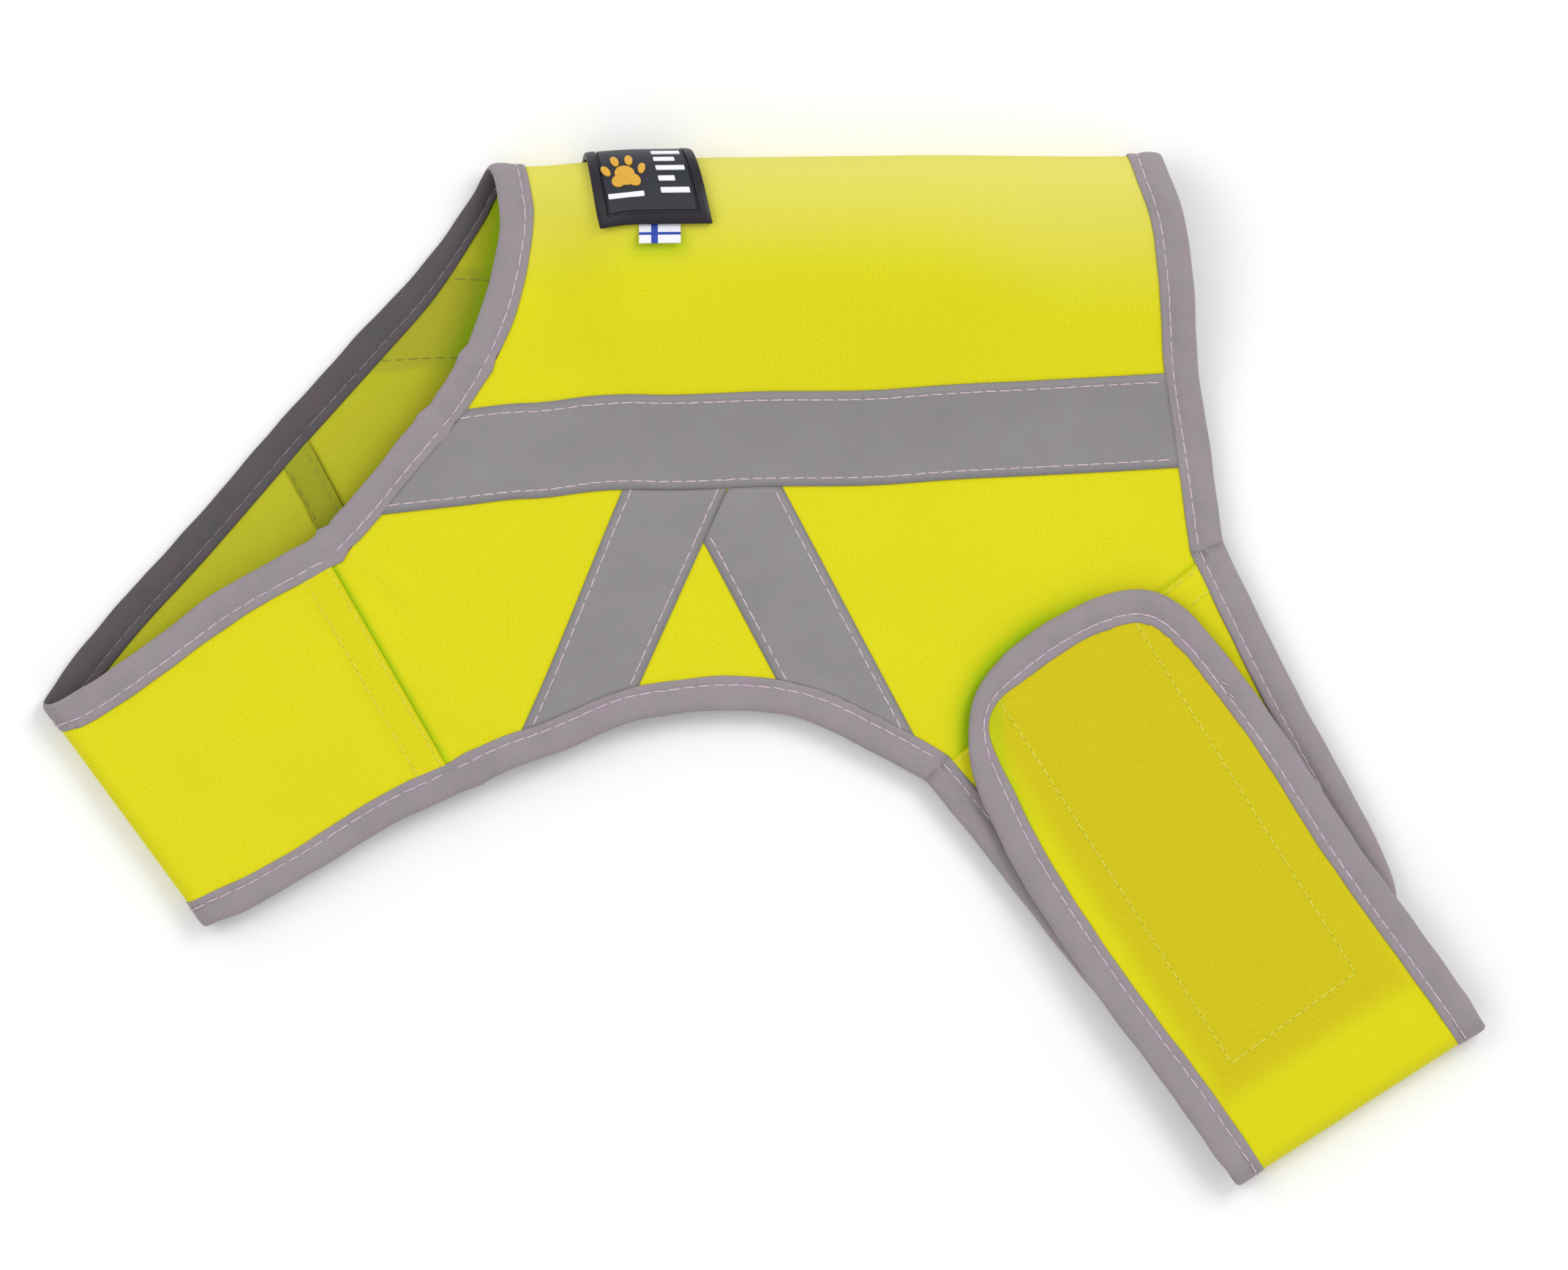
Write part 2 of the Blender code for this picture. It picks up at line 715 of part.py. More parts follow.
def tapes(side, flank, front_middle, back_middle):
    """The three tapes of one side: along the flank, and two slanted ones."""
    name = "near" if side == 0 else "far"
    sign = 1 if side == 0 else -1
    depth = BINDING_DEPTH + SEAM
    neck_line = inside_line(neck, 0, len(neck.steps), side, depth)
    rear_line = inside_line(outer, starts["rear"], starts["strap_far"], side, depth)
    flank_tape(f"tape_flank_{name}", side, flank, neck_line, rear_line)
    reach = TAPE_WIDTH / 2 + SEAM
    flank_edge = [np.array((x, across_on(flank, x) + sign * reach))
                  for x in np.linspace(flank[0][0], flank[-1][0], TAPE_CELLS[0] + 1)]
    leg = inside_line(outer, starts["leg"], starts["end"], side, depth + SEAM)
    leg = leg[np.argsort(leg[:, 0])]
    before = leg[0] + (leg[0] - leg[1]) * LEG_LINE_MORE
    after = leg[-1] + (leg[-1] - leg[-2]) * LEG_LINE_MORE
    leg = np.vstack((before, leg, after))
    slanted_tape(f"tape_front_{name}", side, front_middle, [flank_edge], leg)
    a, b = np.array(front_middle[0]), np.array(front_middle[1])
    along = (b - a) / np.linalg.norm(b - a)
    beside = np.array((-along[1], along[0])) * -sign * reach
    front_edge = [a - along * TAPE_WIDTH + beside, b + along * TAPE_WIDTH + beside]
    slanted_tape(f"tape_back_{name}", side, back_middle, [flank_edge, front_edge], leg)


def panel(name, fold, box, offset):
    """A flat hook or loop panel, beside and out from the belly fold."""
    (left, right), (low, high) = box
    grid = []
    for q in np.linspace(left, right, PANEL_CELLS[0] + 1):
        low_end = np.array((q, fold.across_of(low, 0)))
        high_end = np.array((q, fold.across_of(high, 0)))
        grid.append(between(low_end, high_end, PANEL_CELLS[1]))
    return on_cloth(name, fold, grid, offset, TRIM, "panel")


def label_and_tag():
    """Rubber label over the back fold, and the ribbon tag below it."""
    top, low = LABEL_ACROSS
    grid = []
    for u in np.linspace(0, 1, LABEL_CELLS[0] + 1):
        upper = LABEL_TOP_X[0] + (LABEL_TOP_X[1] - LABEL_TOP_X[0]) * u
        lower = LABEL_LOW_X[0] + (LABEL_LOW_X[1] - LABEL_LOW_X[0]) * u
        grid.append(between(np.array((upper, top)), np.array((lower, low)), LABEL_CELLS[1]))
    label_offset = CLOTH / 2 + LOOSE_SEAM + LABEL_THICK / 2
    on_cloth("label", spine, grid, label_offset, LABEL_THICK, "rubber")
    start = low + SEAM
    grid = []
    for x in np.linspace(*TAG_X, PANEL_CELLS[0] + 1):
        grid.append(between(np.array((x, start)), np.array((x, start + TAG_LENGTH)), 2))
    on_cloth("flag_tag", spine, grid, TRIM_OFFSET, TRIM, "ribbon")


for old in list(bpy.data.objects):
    bpy.data.objects.remove(old)
pieces = bpy.data.collections.new("Dog safety vest")
bpy.context.scene.collection.children.link(pieces)

body = body_places()
band = chest_places()
near_strap = strap_near_places()
far_strap = strap_far_places()
neck = neck_run(body, band)
outer, starts = outer_run(body, band, near_strap, far_strap)

cloth("body", spine, body, "fabric")
cloth("chest_band", chest, band, "fabric")
cloth("strap_near", under, near_strap, "twill")
cloth("strap_far", belly, far_strap, "twill")
neck_sections = np.array([neck.section(k) for k in range(len(neck.steps))])
wall("binding_neck", neck_sections, TRIM, "binding", ring=True)
binding("binding_strap_near", outer, starts["strap_near"], starts["rear"] - 1)
binding("binding_rear", outer, starts["rear"] - 1, starts["strap_far"])
binding("binding_strap_far", outer, starts["strap_far"], starts["leg"] - 1)
binding("binding_leg", outer, starts["leg"] - 1, starts["end"])

tapes(0, FLANK_NEAR, SLANT_FRONT_NEAR, SLANT_BACK_NEAR)
tapes(1, FLANK_FAR, SLANT_FRONT_FAR, SLANT_BACK_FAR)
panel("hook_panel", belly, HOOK_PANEL, -TRIM_OFFSET)
panel("loop_panel", under, LOOP_PANEL, TRIM_OFFSET)
label_and_tag()
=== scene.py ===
# %% [markdown]
# # Dog safety vest, laid out flat on its side
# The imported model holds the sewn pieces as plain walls. This script dresses
# each of them: softer cloth with its small puckers, rolled edge binding,
# tapes, stitches one by one, a rubber label and a ribbon tag. Lengths are in
# millimetres until a mesh is made.

import math
import random

import bpy
import numpy as np
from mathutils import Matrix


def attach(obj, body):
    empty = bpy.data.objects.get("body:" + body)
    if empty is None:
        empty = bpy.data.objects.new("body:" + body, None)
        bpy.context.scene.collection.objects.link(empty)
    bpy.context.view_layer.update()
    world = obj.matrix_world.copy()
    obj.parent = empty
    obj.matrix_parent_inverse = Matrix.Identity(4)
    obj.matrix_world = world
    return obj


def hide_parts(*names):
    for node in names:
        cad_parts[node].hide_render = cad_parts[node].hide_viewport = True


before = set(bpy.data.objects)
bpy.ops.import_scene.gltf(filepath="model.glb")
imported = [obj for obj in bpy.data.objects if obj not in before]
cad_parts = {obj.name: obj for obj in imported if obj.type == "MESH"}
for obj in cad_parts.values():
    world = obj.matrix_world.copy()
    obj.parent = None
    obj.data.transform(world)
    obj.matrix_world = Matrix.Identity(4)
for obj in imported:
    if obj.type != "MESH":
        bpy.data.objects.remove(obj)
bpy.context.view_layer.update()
bpy.ops.object.select_all(action="DESELECT")

# %% [markdown]
# ## Driving sizes
# The cloth is folded over three lines: softly over the back, and flat over
# the chest and the belly. The same folds carry every piece, so these values
# are those of the pieces' solids.

# %% Layers and folds
MM = 0.001
TO_ORIGIN = np.array((0.636, -0.492, 0.027))
CLOTH = 1.2
# heights of the middle of each layer of cloth
Z_FAR = 1.9
Z_NEAR = 6.0
Z_TOP = 10.1
BINDING_DEPTH = 7.9
TAPE_WIDTH = 25.4
SEAM = 0.3

# the roll over the back: where it is, how far it reaches and how high it is
SPINE_AT = (0.0, 136.0)
SPINE_SLOPE = 0.012
SPINE_DIP = 3.5
SPINE_REACH = (16.0, 12.0)
SPINE_TURN = (22.8, 18.1)
ROLL_AT_NECK = 15.0
ROLL_AT_MIDDLE = 25.5
ROLL_AT_REAR = 20.0
ROLL_RISE_X = (-64.0, -34.0)
ROLL_FALL_X = (36.0, 94.0)
ROLL_SETTLE = 70.0
# the two flat folds, each with its line and its radius
CHEST_FOLD = ((-186.7, -16.5), (-154.9, -59.8))
CHEST_REACH = 3.3
BELLY_FOLD = ((124.5, -137.3), (192.2, -94.0))
BELLY_REACH = (Z_TOP - Z_FAR) / 2
# how the near layer rises towards the front and over the neck's opening
FRONT_RISE = 2.5
FRONT_RISE_X = (45.0, -60.0)
NECK_LIFT = 5.0
NECK_LIFT_AT = (-85.0, 68.0)
NECK_LIFT_REACH = 130.0
print("cloth layers at", Z_FAR, Z_NEAR, Z_TOP, "mm")

# %% Seams and outlines
CHEST_SEAM_NEAR = ((-119.2, 34.6), (-81.4, -31.4))
CHEST_SEAM_FAR = ((-126.5, 68.4), (-89.6, -1.2))
STRAP_SEAM_NEAR = ((43.5, -28.6), (120.7, 33.6))
STRAP_SEAM_FAR = ((42.4, -4.2), (108.2, 45.8))
NECK_NEAR = (
    # x, y
    (-111.6, 42.6), (-98.8, 58.0), (-85.3, 74.8), (-76.6, 90.6), (-70.8, 110.0), (-69.5, 122.0),
    (-70.6, 129.0))
NECK_FAR = (
    # x, y
    (-105.8, 91.2), (-91.8, 106.2), (-80.7, 120.9), (-76.0, 128.6))
REAR_NEAR = (
    # x, y
    (117.3, 58.0), (113.9, 80.0), (112.0, 106.0), (109.2, 122.6), (106.0, 131.0))
REAR_FAR = (
    # x, y
    (106.8, 68.0), (106.6, 92.0), (104.0, 120.0))
ARCH_NEAR = (
    # x, y
    (-67.3, -24.8), (-48.2, -17.4), (-28.7, -11.1), (-9.2, -9.3), (12.0, -12.5), (27.0, -19.6))
ARCH_FAR = (
    # x, y
    (-78.0, 2.0), (-56.0, 7.6), (-36.0, 11.6), (-18.0, 12.4), (4.0, 8.6), (24.0, 0.8))
CHEST_ROWS = (
    # out from the fold, upper edge and lower edge along the fold
    (56.0, -4.8, 70.2), (32.0, -4.9, 68.0), (14.0, -5.4, 66.0), (3.5, -7.0, 64.0),
    (-3.5, -10.8, 62.0), (-30.0, -17.9, 57.2), (-58.0, -23.5, 51.2))
STRAP_FAR_ROWS = (
    # out from the fold, left edge and right edge along the fold
    (-110.0, 2.4, 79.6), (-50.0, 1.6, 76.4), (-6.5, 1.6, 78.6), (6.5, 1.4, 78.6),
    (30.0, 0.4, 77.4), (62.0, -1.9, 75.6), (97.0, -2.5, 75.6), (119.0, -0.5, 74.2),
    (130.0, 2.0, 72.6), (138.5, 6.2, 70.2), (144.5, 11.0, 66.2), (148.6, 17.0, 60.0),
    (151.0, 25.0, 51.5))
STRAP_NEAR_ROWS = (
    # out from the fold, left edge and right edge along the fold
    (111.0, -6.8, 84.9), (90.0, -5.0, 83.2), (62.0, -1.9, 81.2), (49.0, 1.2, 79.4),
    (41.0, 5.0, 76.4), (35.5, 11.5, 70.0), (32.5, 21.0, 60.0))
FLANK_NEAR = (
    # x, across the cloth from the back fold
    (-105.0, 82.9), (-82.0, 80.6), (-66.0, 79.0), (-52.0, 79.4), (-38.0, 81.2), (0.0, 81.0),
    (30.0, 80.9), (60.0, 78.4), (84.0, 76.2), (110.0, 74.8))
FLANK_FAR = (
    # x, across the cloth from the back fold
    (-105.0, -43.4), (-85.0, -42.6), (-50.0, -46.0), (0.0, -54.0), (60.0, -60.5),
    (110.0, -66.0))
SLANT_FRONT_NEAR = ((-25.8, 95.0), (-52.2, 152.0))
SLANT_BACK_NEAR = ((-11.0, 94.0), (20.5, 155.0))
SLANT_FRONT_FAR = ((-34.0, -69.0), (-56.0, -128.0))
SLANT_BACK_FAR = ((-19.0, -69.0), (12.0, -132.0))
HOOK_PANEL = ((15.5, 60.5), (26.5, 136.0))
LOOP_PANEL = ((15.0, 64.0), (46.0, 122.0))
print("outline rows:", len(NECK_NEAR) + len(NECK_FAR) + len(REAR_NEAR) + len(REAR_FAR))

# %% [markdown]
# ## Folds
# A fold turns a place on the flat cut, along the fold line and across the
# cloth, into a place in space. Working on the cut keeps the weave, the tapes
# and the stitches true to the cloth wherever it bends.

# %% Curves
def smooth(t):
    """Ease from 0 to 1."""
    t = np.clip(t, 0.0, 1.0)
    return t * t * (3 - 2 * t)


def spline(xs, ys, x):
    """Smooth curve through the points, read at x."""
    order = np.argsort(xs)
    xs = np.asarray(xs, float)[order]
    ys = np.asarray(ys, float)[order]
    slopes = np.gradient(ys, xs)
    k = np.clip(np.searchsorted(xs, x) - 1, 0, len(xs) - 2)
    width = xs[k + 1] - xs[k]
    t = (x - xs[k]) / width
    rise = ys[k + 1] - ys[k]
    bend_a = slopes[k] * width - rise
    bend_b = rise - slopes[k + 1] * width
    return ys[k] + t * rise + t * (1 - t) * ((1 - t) * bend_a + t * bend_b)


def distance_along(points):
    """How far each point is along its row."""
    return np.concatenate(([0.0], np.cumsum(np.linalg.norm(np.diff(points, axis=0), axis=1))))


def unit(vectors):
    """The same directions with a length of 1."""
    return vectors / np.linalg.norm(vectors, axis=-1, keepdims=True)


def near_height(x, y):
    """Height of the middle of the near layer above the surface."""
    start, full = FRONT_RISE_X
    front = smooth((start - x) / (start - full))
    away = np.hypot(x - NECK_LIFT_AT[0], y - NECK_LIFT_AT[1]) / NECK_LIFT_REACH
    return Z_NEAR + FRONT_RISE * front + NECK_LIFT * np.maximum(0.0, 1 - away ** 2) ** 2


def roll_top(x):
    """Height of the middle of the cloth on top of the roll along the back."""
    up = smooth((x - ROLL_RISE_X[0]) / (ROLL_RISE_X[1] - ROLL_RISE_X[0]))
    down = smooth((x - ROLL_FALL_X[0]) / (ROLL_FALL_X[1] - ROLL_FALL_X[0]))
    front = ROLL_AT_NECK + (ROLL_AT_MIDDLE - ROLL_AT_NECK) * up
    return front + (ROLL_AT_REAR - ROLL_AT_MIDDLE) * down


def roll_size(x):
    """Size of the roll beside its full size."""
    return (roll_top(x) - Z_FAR) / (ROLL_AT_MIDDLE - Z_FAR)


def spine_top(x, y, across):
    """Height of the upper cloth, from the roll down to the near layer."""
    low = near_height(x, y)
    settled = smooth((across - SPINE_TURN[0] * roll_size(x)) / ROLL_SETTLE)
    return low + (roll_top(x) - low) * (1 - settled)


print("roll is", roll_top(0.0), "mm high in the middle")

# %% Relief of the cloth
def relief(places, creases):
    """Height of the troughs and ridges at some places on the cloth."""
    height = np.zeros(places.shape[:-1])
    for a, b, width, depth in creases:
        a = np.asarray(a, float)
        d = np.asarray(b, float) - a
        length = math.hypot(*d)
        v = places - a
        t = (v @ d) / length ** 2
        off = (v[..., 0] * d[1] - v[..., 1] * d[0]) / length
        beyond = (np.maximum(-t, 0.0) + np.maximum(t - 1, 0.0)) * length
        taper = 0.35 + 0.65 * np.sin(math.pi * np.clip(t, 0, 1))
        height += depth * taper * np.exp(-(off ** 2 + beyond ** 2) / width ** 2)
    return height


middle = relief(np.zeros((1, 2)), [((-5, 0), (5, 0), 2.0, 1.0)])
print("a crease 1 mm high rises at its middle by", middle, "mm")

# %% A fold of cloth
SLOPE_STEP = 0.05


class Fold:
    """Cloth folded over a line: near side on top, far side on the surface.

    A place is (along, across): across is above 0 on the near side.
    """

    def __init__(self, at, direction, cloth_side, reach, turn, top, size=None, dip=0.0):
        self.at = np.array(at)
        self.along = np.array(direction) / math.hypot(*direction)
        self.inward = cloth_side * np.array((self.along[1], -self.along[0]))
        self.cloth_side = cloth_side
        self.reach = reach
        self.turn = turn
        self.top = top
        self.size = size or (lambda along: np.ones(np.shape(along)))
        self.dip = dip
        self.creases = []

    def sizes(self, along, across):
        """Size of the fold, its reach seen from above and the cloth it takes."""
        size = self.size(along)
        near = across >= 0
        return size, np.where(near, *self.reach) * size, np.where(near, *self.turn) * size

    def point(self, places):
        """Points in space of the middle of the cloth."""
        along, across = places[..., 0], places[..., 1]
        size, reach, turn = self.sizes(along, across)
        angle = math.pi / 2 * np.minimum(np.abs(across) / turn, 1.0)
        flat = np.maximum(np.abs(across) - turn, 0.0)
        inside = reach * (1 - np.cos(angle)) + flat + self.dip * (1 - size)
        xy = self.at + along[..., None] * self.along + inside[..., None] * self.inward
        lift = np.sin(angle) * np.where(across >= 0, 1.0, -1.0)
        top = self.top(xy[..., 0], xy[..., 1], across)
        z = Z_FAR + (top - Z_FAR) * (1 + lift) / 2
        return np.concatenate((xy, z[..., None]), axis=-1)

    def slopes(self, places):
        """How the point moves for each millimetre along, and across."""
        along = np.array((SLOPE_STEP, 0.0))
        across = np.array((0.0, SLOPE_STEP))
        by_along = self.point(places + along) - self.point(places - along)
        by_across = self.point(places + across) - self.point(places - across)
        return by_along / (2 * SLOPE_STEP), by_across / (2 * SLOPE_STEP)

    def normal(self, places):
        """Direction square to the cloth, towards its outer face."""
        by_along, by_across = self.slopes(places)
        return unit(np.cross(by_across, by_along) * self.cloth_side)

    def raised(self, places, offset):
        """Places moved out from the middle of the cloth, with its creases."""
        height = relief(places, self.creases) + offset
        return self.point(places) + self.normal(places) * height[..., None]

    def place(self, x, y, side):
        """The place on the cloth at (x, y), on the near (0) or far (1) side."""
        v = np.stack((x, y), axis=-1) - self.at
        along = v @ self.along
        return np.stack((along, self.across_of(v @ self.inward, side, along)), axis=-1)

    def across_of(self, inside, side, along):
        """Place across the cloth, at a distance inside the fold seen from above."""
        size = self.size(along)
        reach = self.reach[side] * size
        turn = self.turn[side] * size
        inside = np.maximum(inside - self.dip * (1 - size), 0.0)
        angle = np.arccos(np.clip(1 - inside / reach, -1.0, 1.0))
        distance = np.where(inside < reach, turn * angle / (math.pi / 2), turn + inside - reach)
        return distance if side == 0 else -distance

    def step_in(self, places, direction, distance):
        """Go over the cloth from places, in directions given in space."""
        u, v = self.slopes(places)
        uu, uv, vv = (u * u).sum(-1), (u * v).sum(-1), (v * v).sum(-1)
        ud, vd = (u * direction).sum(-1), (v * direction).sum(-1)
        det = uu * vv - uv * uv
        free = np.stack(((ud * vv - vd * uv) / det, (vd * uu - ud * uv) / det), axis=-1)
        straight = np.stack((np.sign(free[..., 0]), np.zeros(len(free))), axis=-1)
        turn = self.sizes(places[..., 0], places[..., 1])[2]
        share = smooth((np.abs(places[..., 1]) / turn - 1.0) / 0.4)[..., None]
        distance = np.broadcast_to(distance, len(places))[:, None]
        return places + (free * share + straight * (1 - share)) * distance


def folded_line(line, reach, cloth_side, top):
    """A flat fold along a line, the same on both sides."""
    (x0, y0), (x1, y1) = line
    turn = math.pi / 2 * reach
    return Fold(line[0], (x1 - x0, y1 - y0), cloth_side, (reach, reach), (turn, turn), top)


spine = Fold(SPINE_AT, (1.0, SPINE_SLOPE), 1, SPINE_REACH, SPINE_TURN, spine_top,
             roll_size, SPINE_DIP)
chest = folded_line(CHEST_FOLD, CHEST_REACH, -1, lambda x, y, across: near_height(x, y))
belly = folded_line(BELLY_FOLD, BELLY_REACH, -1, lambda x, y, across: np.full(x.shape, Z_TOP))
under = folded_line(BELLY_FOLD, BELLY_REACH, -1, lambda x, y, across: np.full(x.shape, Z_NEAR))
print("folds: back, chest, belly outside and belly inside")

# %% [markdown]
# ## Grids on the cut
# Each cloth piece is a grid of places between its edges, fine enough for
# puckers a few millimetres wide.

# %% Places between the edges
FINE = 6
BODY_COLUMNS = (5 * FINE, 17 * FINE, 7 * FINE)
BODY_ROWS = (13 * FINE, 10 * FINE, 7 * FINE)
BAND_COLUMNS = 44
BAND_ROWS = (14, 12, 9, 8, 12, 13, 13, 15)
STRAP_COLUMNS = 44
STRAP_FAR_ROWS_FINE = (12, 26, 20, 14, 13, 16, 17, 11, 6, 5, 4, 4, 4)
STRAP_NEAR_ROWS_FINE = (10, 12, 14, 8, 6, 5, 5)
CHEST_END = BODY_COLUMNS[0]
ARCH_END = BODY_COLUMNS[0] + BODY_COLUMNS[1]


def between(a, b, count):
    """Places in even steps from a to b."""
    return np.asarray(a) + (np.asarray(b) - np.asarray(a)) * np.linspace(0, 1, count + 1)[:, None]


def seam_places(fold, line, side, gap, count):
    """Places along a seam, moved by a gap to the left of its direction."""
    a, b = (np.array(end) for end in line)
    d = (b - a) / np.linalg.norm(b - a)
    points = between(a, b, count) + np.array((-d[1], d[0])) * gap
    return fold.place(points[:, 0], points[:, 1], side)


def arch_places(table, side, start, end, count):
    """Places along a leg arch, smooth through its table."""
    inner = spine.place(*np.array(table).T, side)
    rows = np.vstack((start, inner, end))
    along = np.linspace(start[0], end[0], count + 1)
    return np.stack((along, spline(rows[:, 0], rows[:, 1], along)), axis=-1)


def lower_edge(side, gap):
    """Lower edge of the body: chest seam, leg arch and strap seam."""
    chest_seam, arch, strap_seam = (
        (CHEST_SEAM_NEAR, ARCH_NEAR, STRAP_SEAM_NEAR) if side == 0
        else (CHEST_SEAM_FAR, ARCH_FAR, STRAP_SEAM_FAR))
    front = seam_places(spine, chest_seam, side, gap, BODY_COLUMNS[0])
    back = seam_places(spine, strap_seam, side, gap, BODY_COLUMNS[2])
    middle = arch_places(arch, side, front[-1], back[0], BODY_COLUMNS[1])
    return np.vstack((front[:-1], middle, back[1:]))


def side_edge(near_table, far_table, near_corner, far_corner):
    """A function that gives the neck or rear edge, for places across the cloth."""
    near = spine.place(*np.array(near_table).T, 0)
    far = spine.place(*np.array(far_table).T, 1)
    rows = np.vstack((near_corner, near, far, far_corner))
    return lambda across: spline(rows[:, 1], rows[:, 0], across)


print("body grid:", sum(BODY_COLUMNS), "by", sum(BODY_ROWS), "cells")

# %% Grid over the body
def coons(bottom, top, left, right):
    """Places between four edges that meet at their corners."""
    u = np.linspace(0, 1, len(bottom))[:, None, None]
    v = np.linspace(0, 1, len(left))[None, :, None]
    corners = ((1 - u) * ((1 - v) * bottom[0] + v * top[0])
               + u * ((1 - v) * bottom[-1] + v * top[-1]))
    return ((1 - v) * bottom[:, None] + v * top[:, None]
            + (1 - u) * left[None] + u * right[None] - corners)


def body_places(near_gap, far_gap):
    """Grid over the body: near side, back fold and far side."""
    near, far = lower_edge(0, near_gap), lower_edge(1, far_gap)
    neck = side_edge(NECK_NEAR, NECK_FAR, near[0], far[0])
    rear = side_edge(REAR_NEAR, REAR_FAR, near[-1], far[-1])

    def roll_line(share):
        """A row of the grid along the roll, at a share of the way round it."""
        turn = SPINE_TURN[0] if share >= 0 else SPINE_TURN[1]
        front = neck(share * turn * roll_size(NECK_NEAR[-1][0]))
        back = rear(share * turn * roll_size(REAR_NEAR[-1][0]))
        x = np.linspace(front, back, sum(BODY_COLUMNS) + 1)
        return np.stack((x, share * turn * roll_size(x)), axis=-1)

    def side_rows(edge, a, b, count):
        """The neck or rear edge of one part of the grid."""
        across = np.linspace(a, b, count + 1)
        return np.stack((edge(across), across), axis=-1)

    near_line, far_line = roll_line(1.0), roll_line(-1.0)
    near_part = coons(near, near_line,
                      side_rows(neck, near[0][1], near_line[0][1], BODY_ROWS[0]),
                      side_rows(rear, near[-1][1], near_line[-1][1], BODY_ROWS[0]))
    far_part = coons(far_line, far,
                     side_rows(neck, far_line[0][1], far[0][1], BODY_ROWS[2]),
                     side_rows(rear, far_line[-1][1], far[-1][1], BODY_ROWS[2]))
    shares = np.linspace(1, -1, BODY_ROWS[1] + 1)[1:-1]
    roll = np.stack([roll_line(share) for share in shares], axis=1)
    return np.concatenate((near_part, roll, far_part), axis=1)


body = body_places(SEAM / 2, SEAM / 2)
print("body grid:", body.shape)

# %% Grids over the strips
def strip_places(fold, seams, table, counts, columns):
    """Grid over a strip, smooth through the rows of its table."""
    rows = []
    for out, first, second in table:
        side = 0 if out >= 0 else 1
        across = fold.across_of(abs(out), side, 0.0)
        rows.append((first, across, second, across))
    before, after = seams
    rows = [np.ravel(before)] * (before is not None) + rows + [np.ravel(after)] * (after is not None)
    values = np.array(rows, dtype=float)
    steps = np.concatenate([[0.0]] + [k + np.arange(1, n + 1) / n for k, n in enumerate(counts)])
    sides = np.stack([spline(range(len(rows)), values[:, c], steps) for c in range(4)], axis=-1)
    share = np.linspace(0, 1, columns + 1)[:, None, None]
    return sides[None, :, :2] * (1 - share) + sides[None, :, 2:] * share


band = strip_places(chest, (seam_places(chest, CHEST_SEAM_NEAR, 0, -SEAM / 2, 1),
                            seam_places(chest, CHEST_SEAM_FAR, 1, -SEAM / 2, 1)),
                    CHEST_ROWS, BAND_ROWS, BAND_COLUMNS)
far_strap = strip_places(belly, (seam_places(belly, STRAP_SEAM_FAR, 1, -SEAM / 2, 1), None),
                         STRAP_FAR_ROWS, STRAP_FAR_ROWS_FINE, STRAP_COLUMNS)
# The strap's end bulges a little, and its right edge is drawn in beside the panel.
END_BULGE = 1.1
DRAWN_IN = 0.8
DRAWN_AT = 113.0
DRAWN_REACH = 26.0
crown = np.linspace(-1, 1, STRAP_COLUMNS + 1)[:, None]
end_share = smooth(1 - np.arange(far_strap.shape[1])[::-1] / sum(STRAP_FAR_ROWS_FINE[-4:]))
far_strap[..., 1] += END_BULGE * (1 - crown ** 2) * end_share
wedge = np.exp(-((far_strap[..., 1] - DRAWN_AT) / DRAWN_REACH) ** 2)
far_strap[..., 0] -= DRAWN_IN * wedge * np.linspace(0, 1, STRAP_COLUMNS + 1)[:, None]
near_strap = strip_places(under, (seam_places(under, STRAP_SEAM_NEAR, 0, -SEAM / 2, 1), None),
                          STRAP_NEAR_ROWS, STRAP_NEAR_ROWS_FINE, STRAP_COLUMNS)
print("grids:", band.shape, far_strap.shape, near_strap.shape)

# %% [markdown]
# ## Creases
# The vest lies quite smooth, so its creases are low: a few soft ones where
# the cloth is pulled towards the neck, the arch and the strap, and short
# puckers where the binding's seam gathers the edge. Each is a line on the
# cut with a width and a depth, uneven on purpose.

# %% Soft creases
def on_near(fold, rows):
    """Creases given by their ends seen from above, on the near side."""
    made = []
    for x0, y0, x1, y1, width, depth in rows:
        ends = fold.place(np.array((x0, x1)), np.array((y0, y1)), 0)
        made.append((ends[0], ends[1], width, depth))
    return made


spine.creases += on_near(spine, (
    # from x, y to x, y, width, height
    (-108.4, 26.9, -96.0, 12.2, 2.4, -0.5),
    (-104.4, 29.7, -91.0, 15.4, 2.2, 0.32),
    (-100.0, 6.0, -72.0, -14.0, 7.0, 0.45),
    (-92.0, 60.0, -52.0, 82.0, 10.0, -0.55),
    (-74.0, 96.0, -30.0, 88.0, 9.0, 0.5),
    (-20.0, 98.0, 48.0, 90.0, 13.0, -0.5),
    (30.0, 112.0, 92.0, 104.0, 9.0, 0.4),
    (84.0, 76.0, 104.0, 64.0, 7.0, -0.45),
    (10.0, 22.0, 62.0, -2.0, 10.0, -0.5),
    (28.0, 40.0, 84.0, 22.0, 12.0, 0.45),
    (4.0, 6.0, 21.0, -5.0, 3.6, -0.5),
    (-12.0, 4.0, -8.0, -6.0, 3.0, -0.25),
    (-64.0, 10.0, -50.0, 34.0, 8.0, -0.4)))
spine.creases += [
    # places on the far side, where the cloth may only rise off the surface
    ((-70.0, -40.0), (10.0, -62.0), 12.0, -0.35),
    ((20.0, -84.0), (70.0, -58.0), 10.0, -0.3),
    ((-84.0, -88.0), (-60.0, -70.0), 6.0, -0.4),
    ((-98.0, -92.0), (-78.0, -112.0), 5.0, -0.35)]
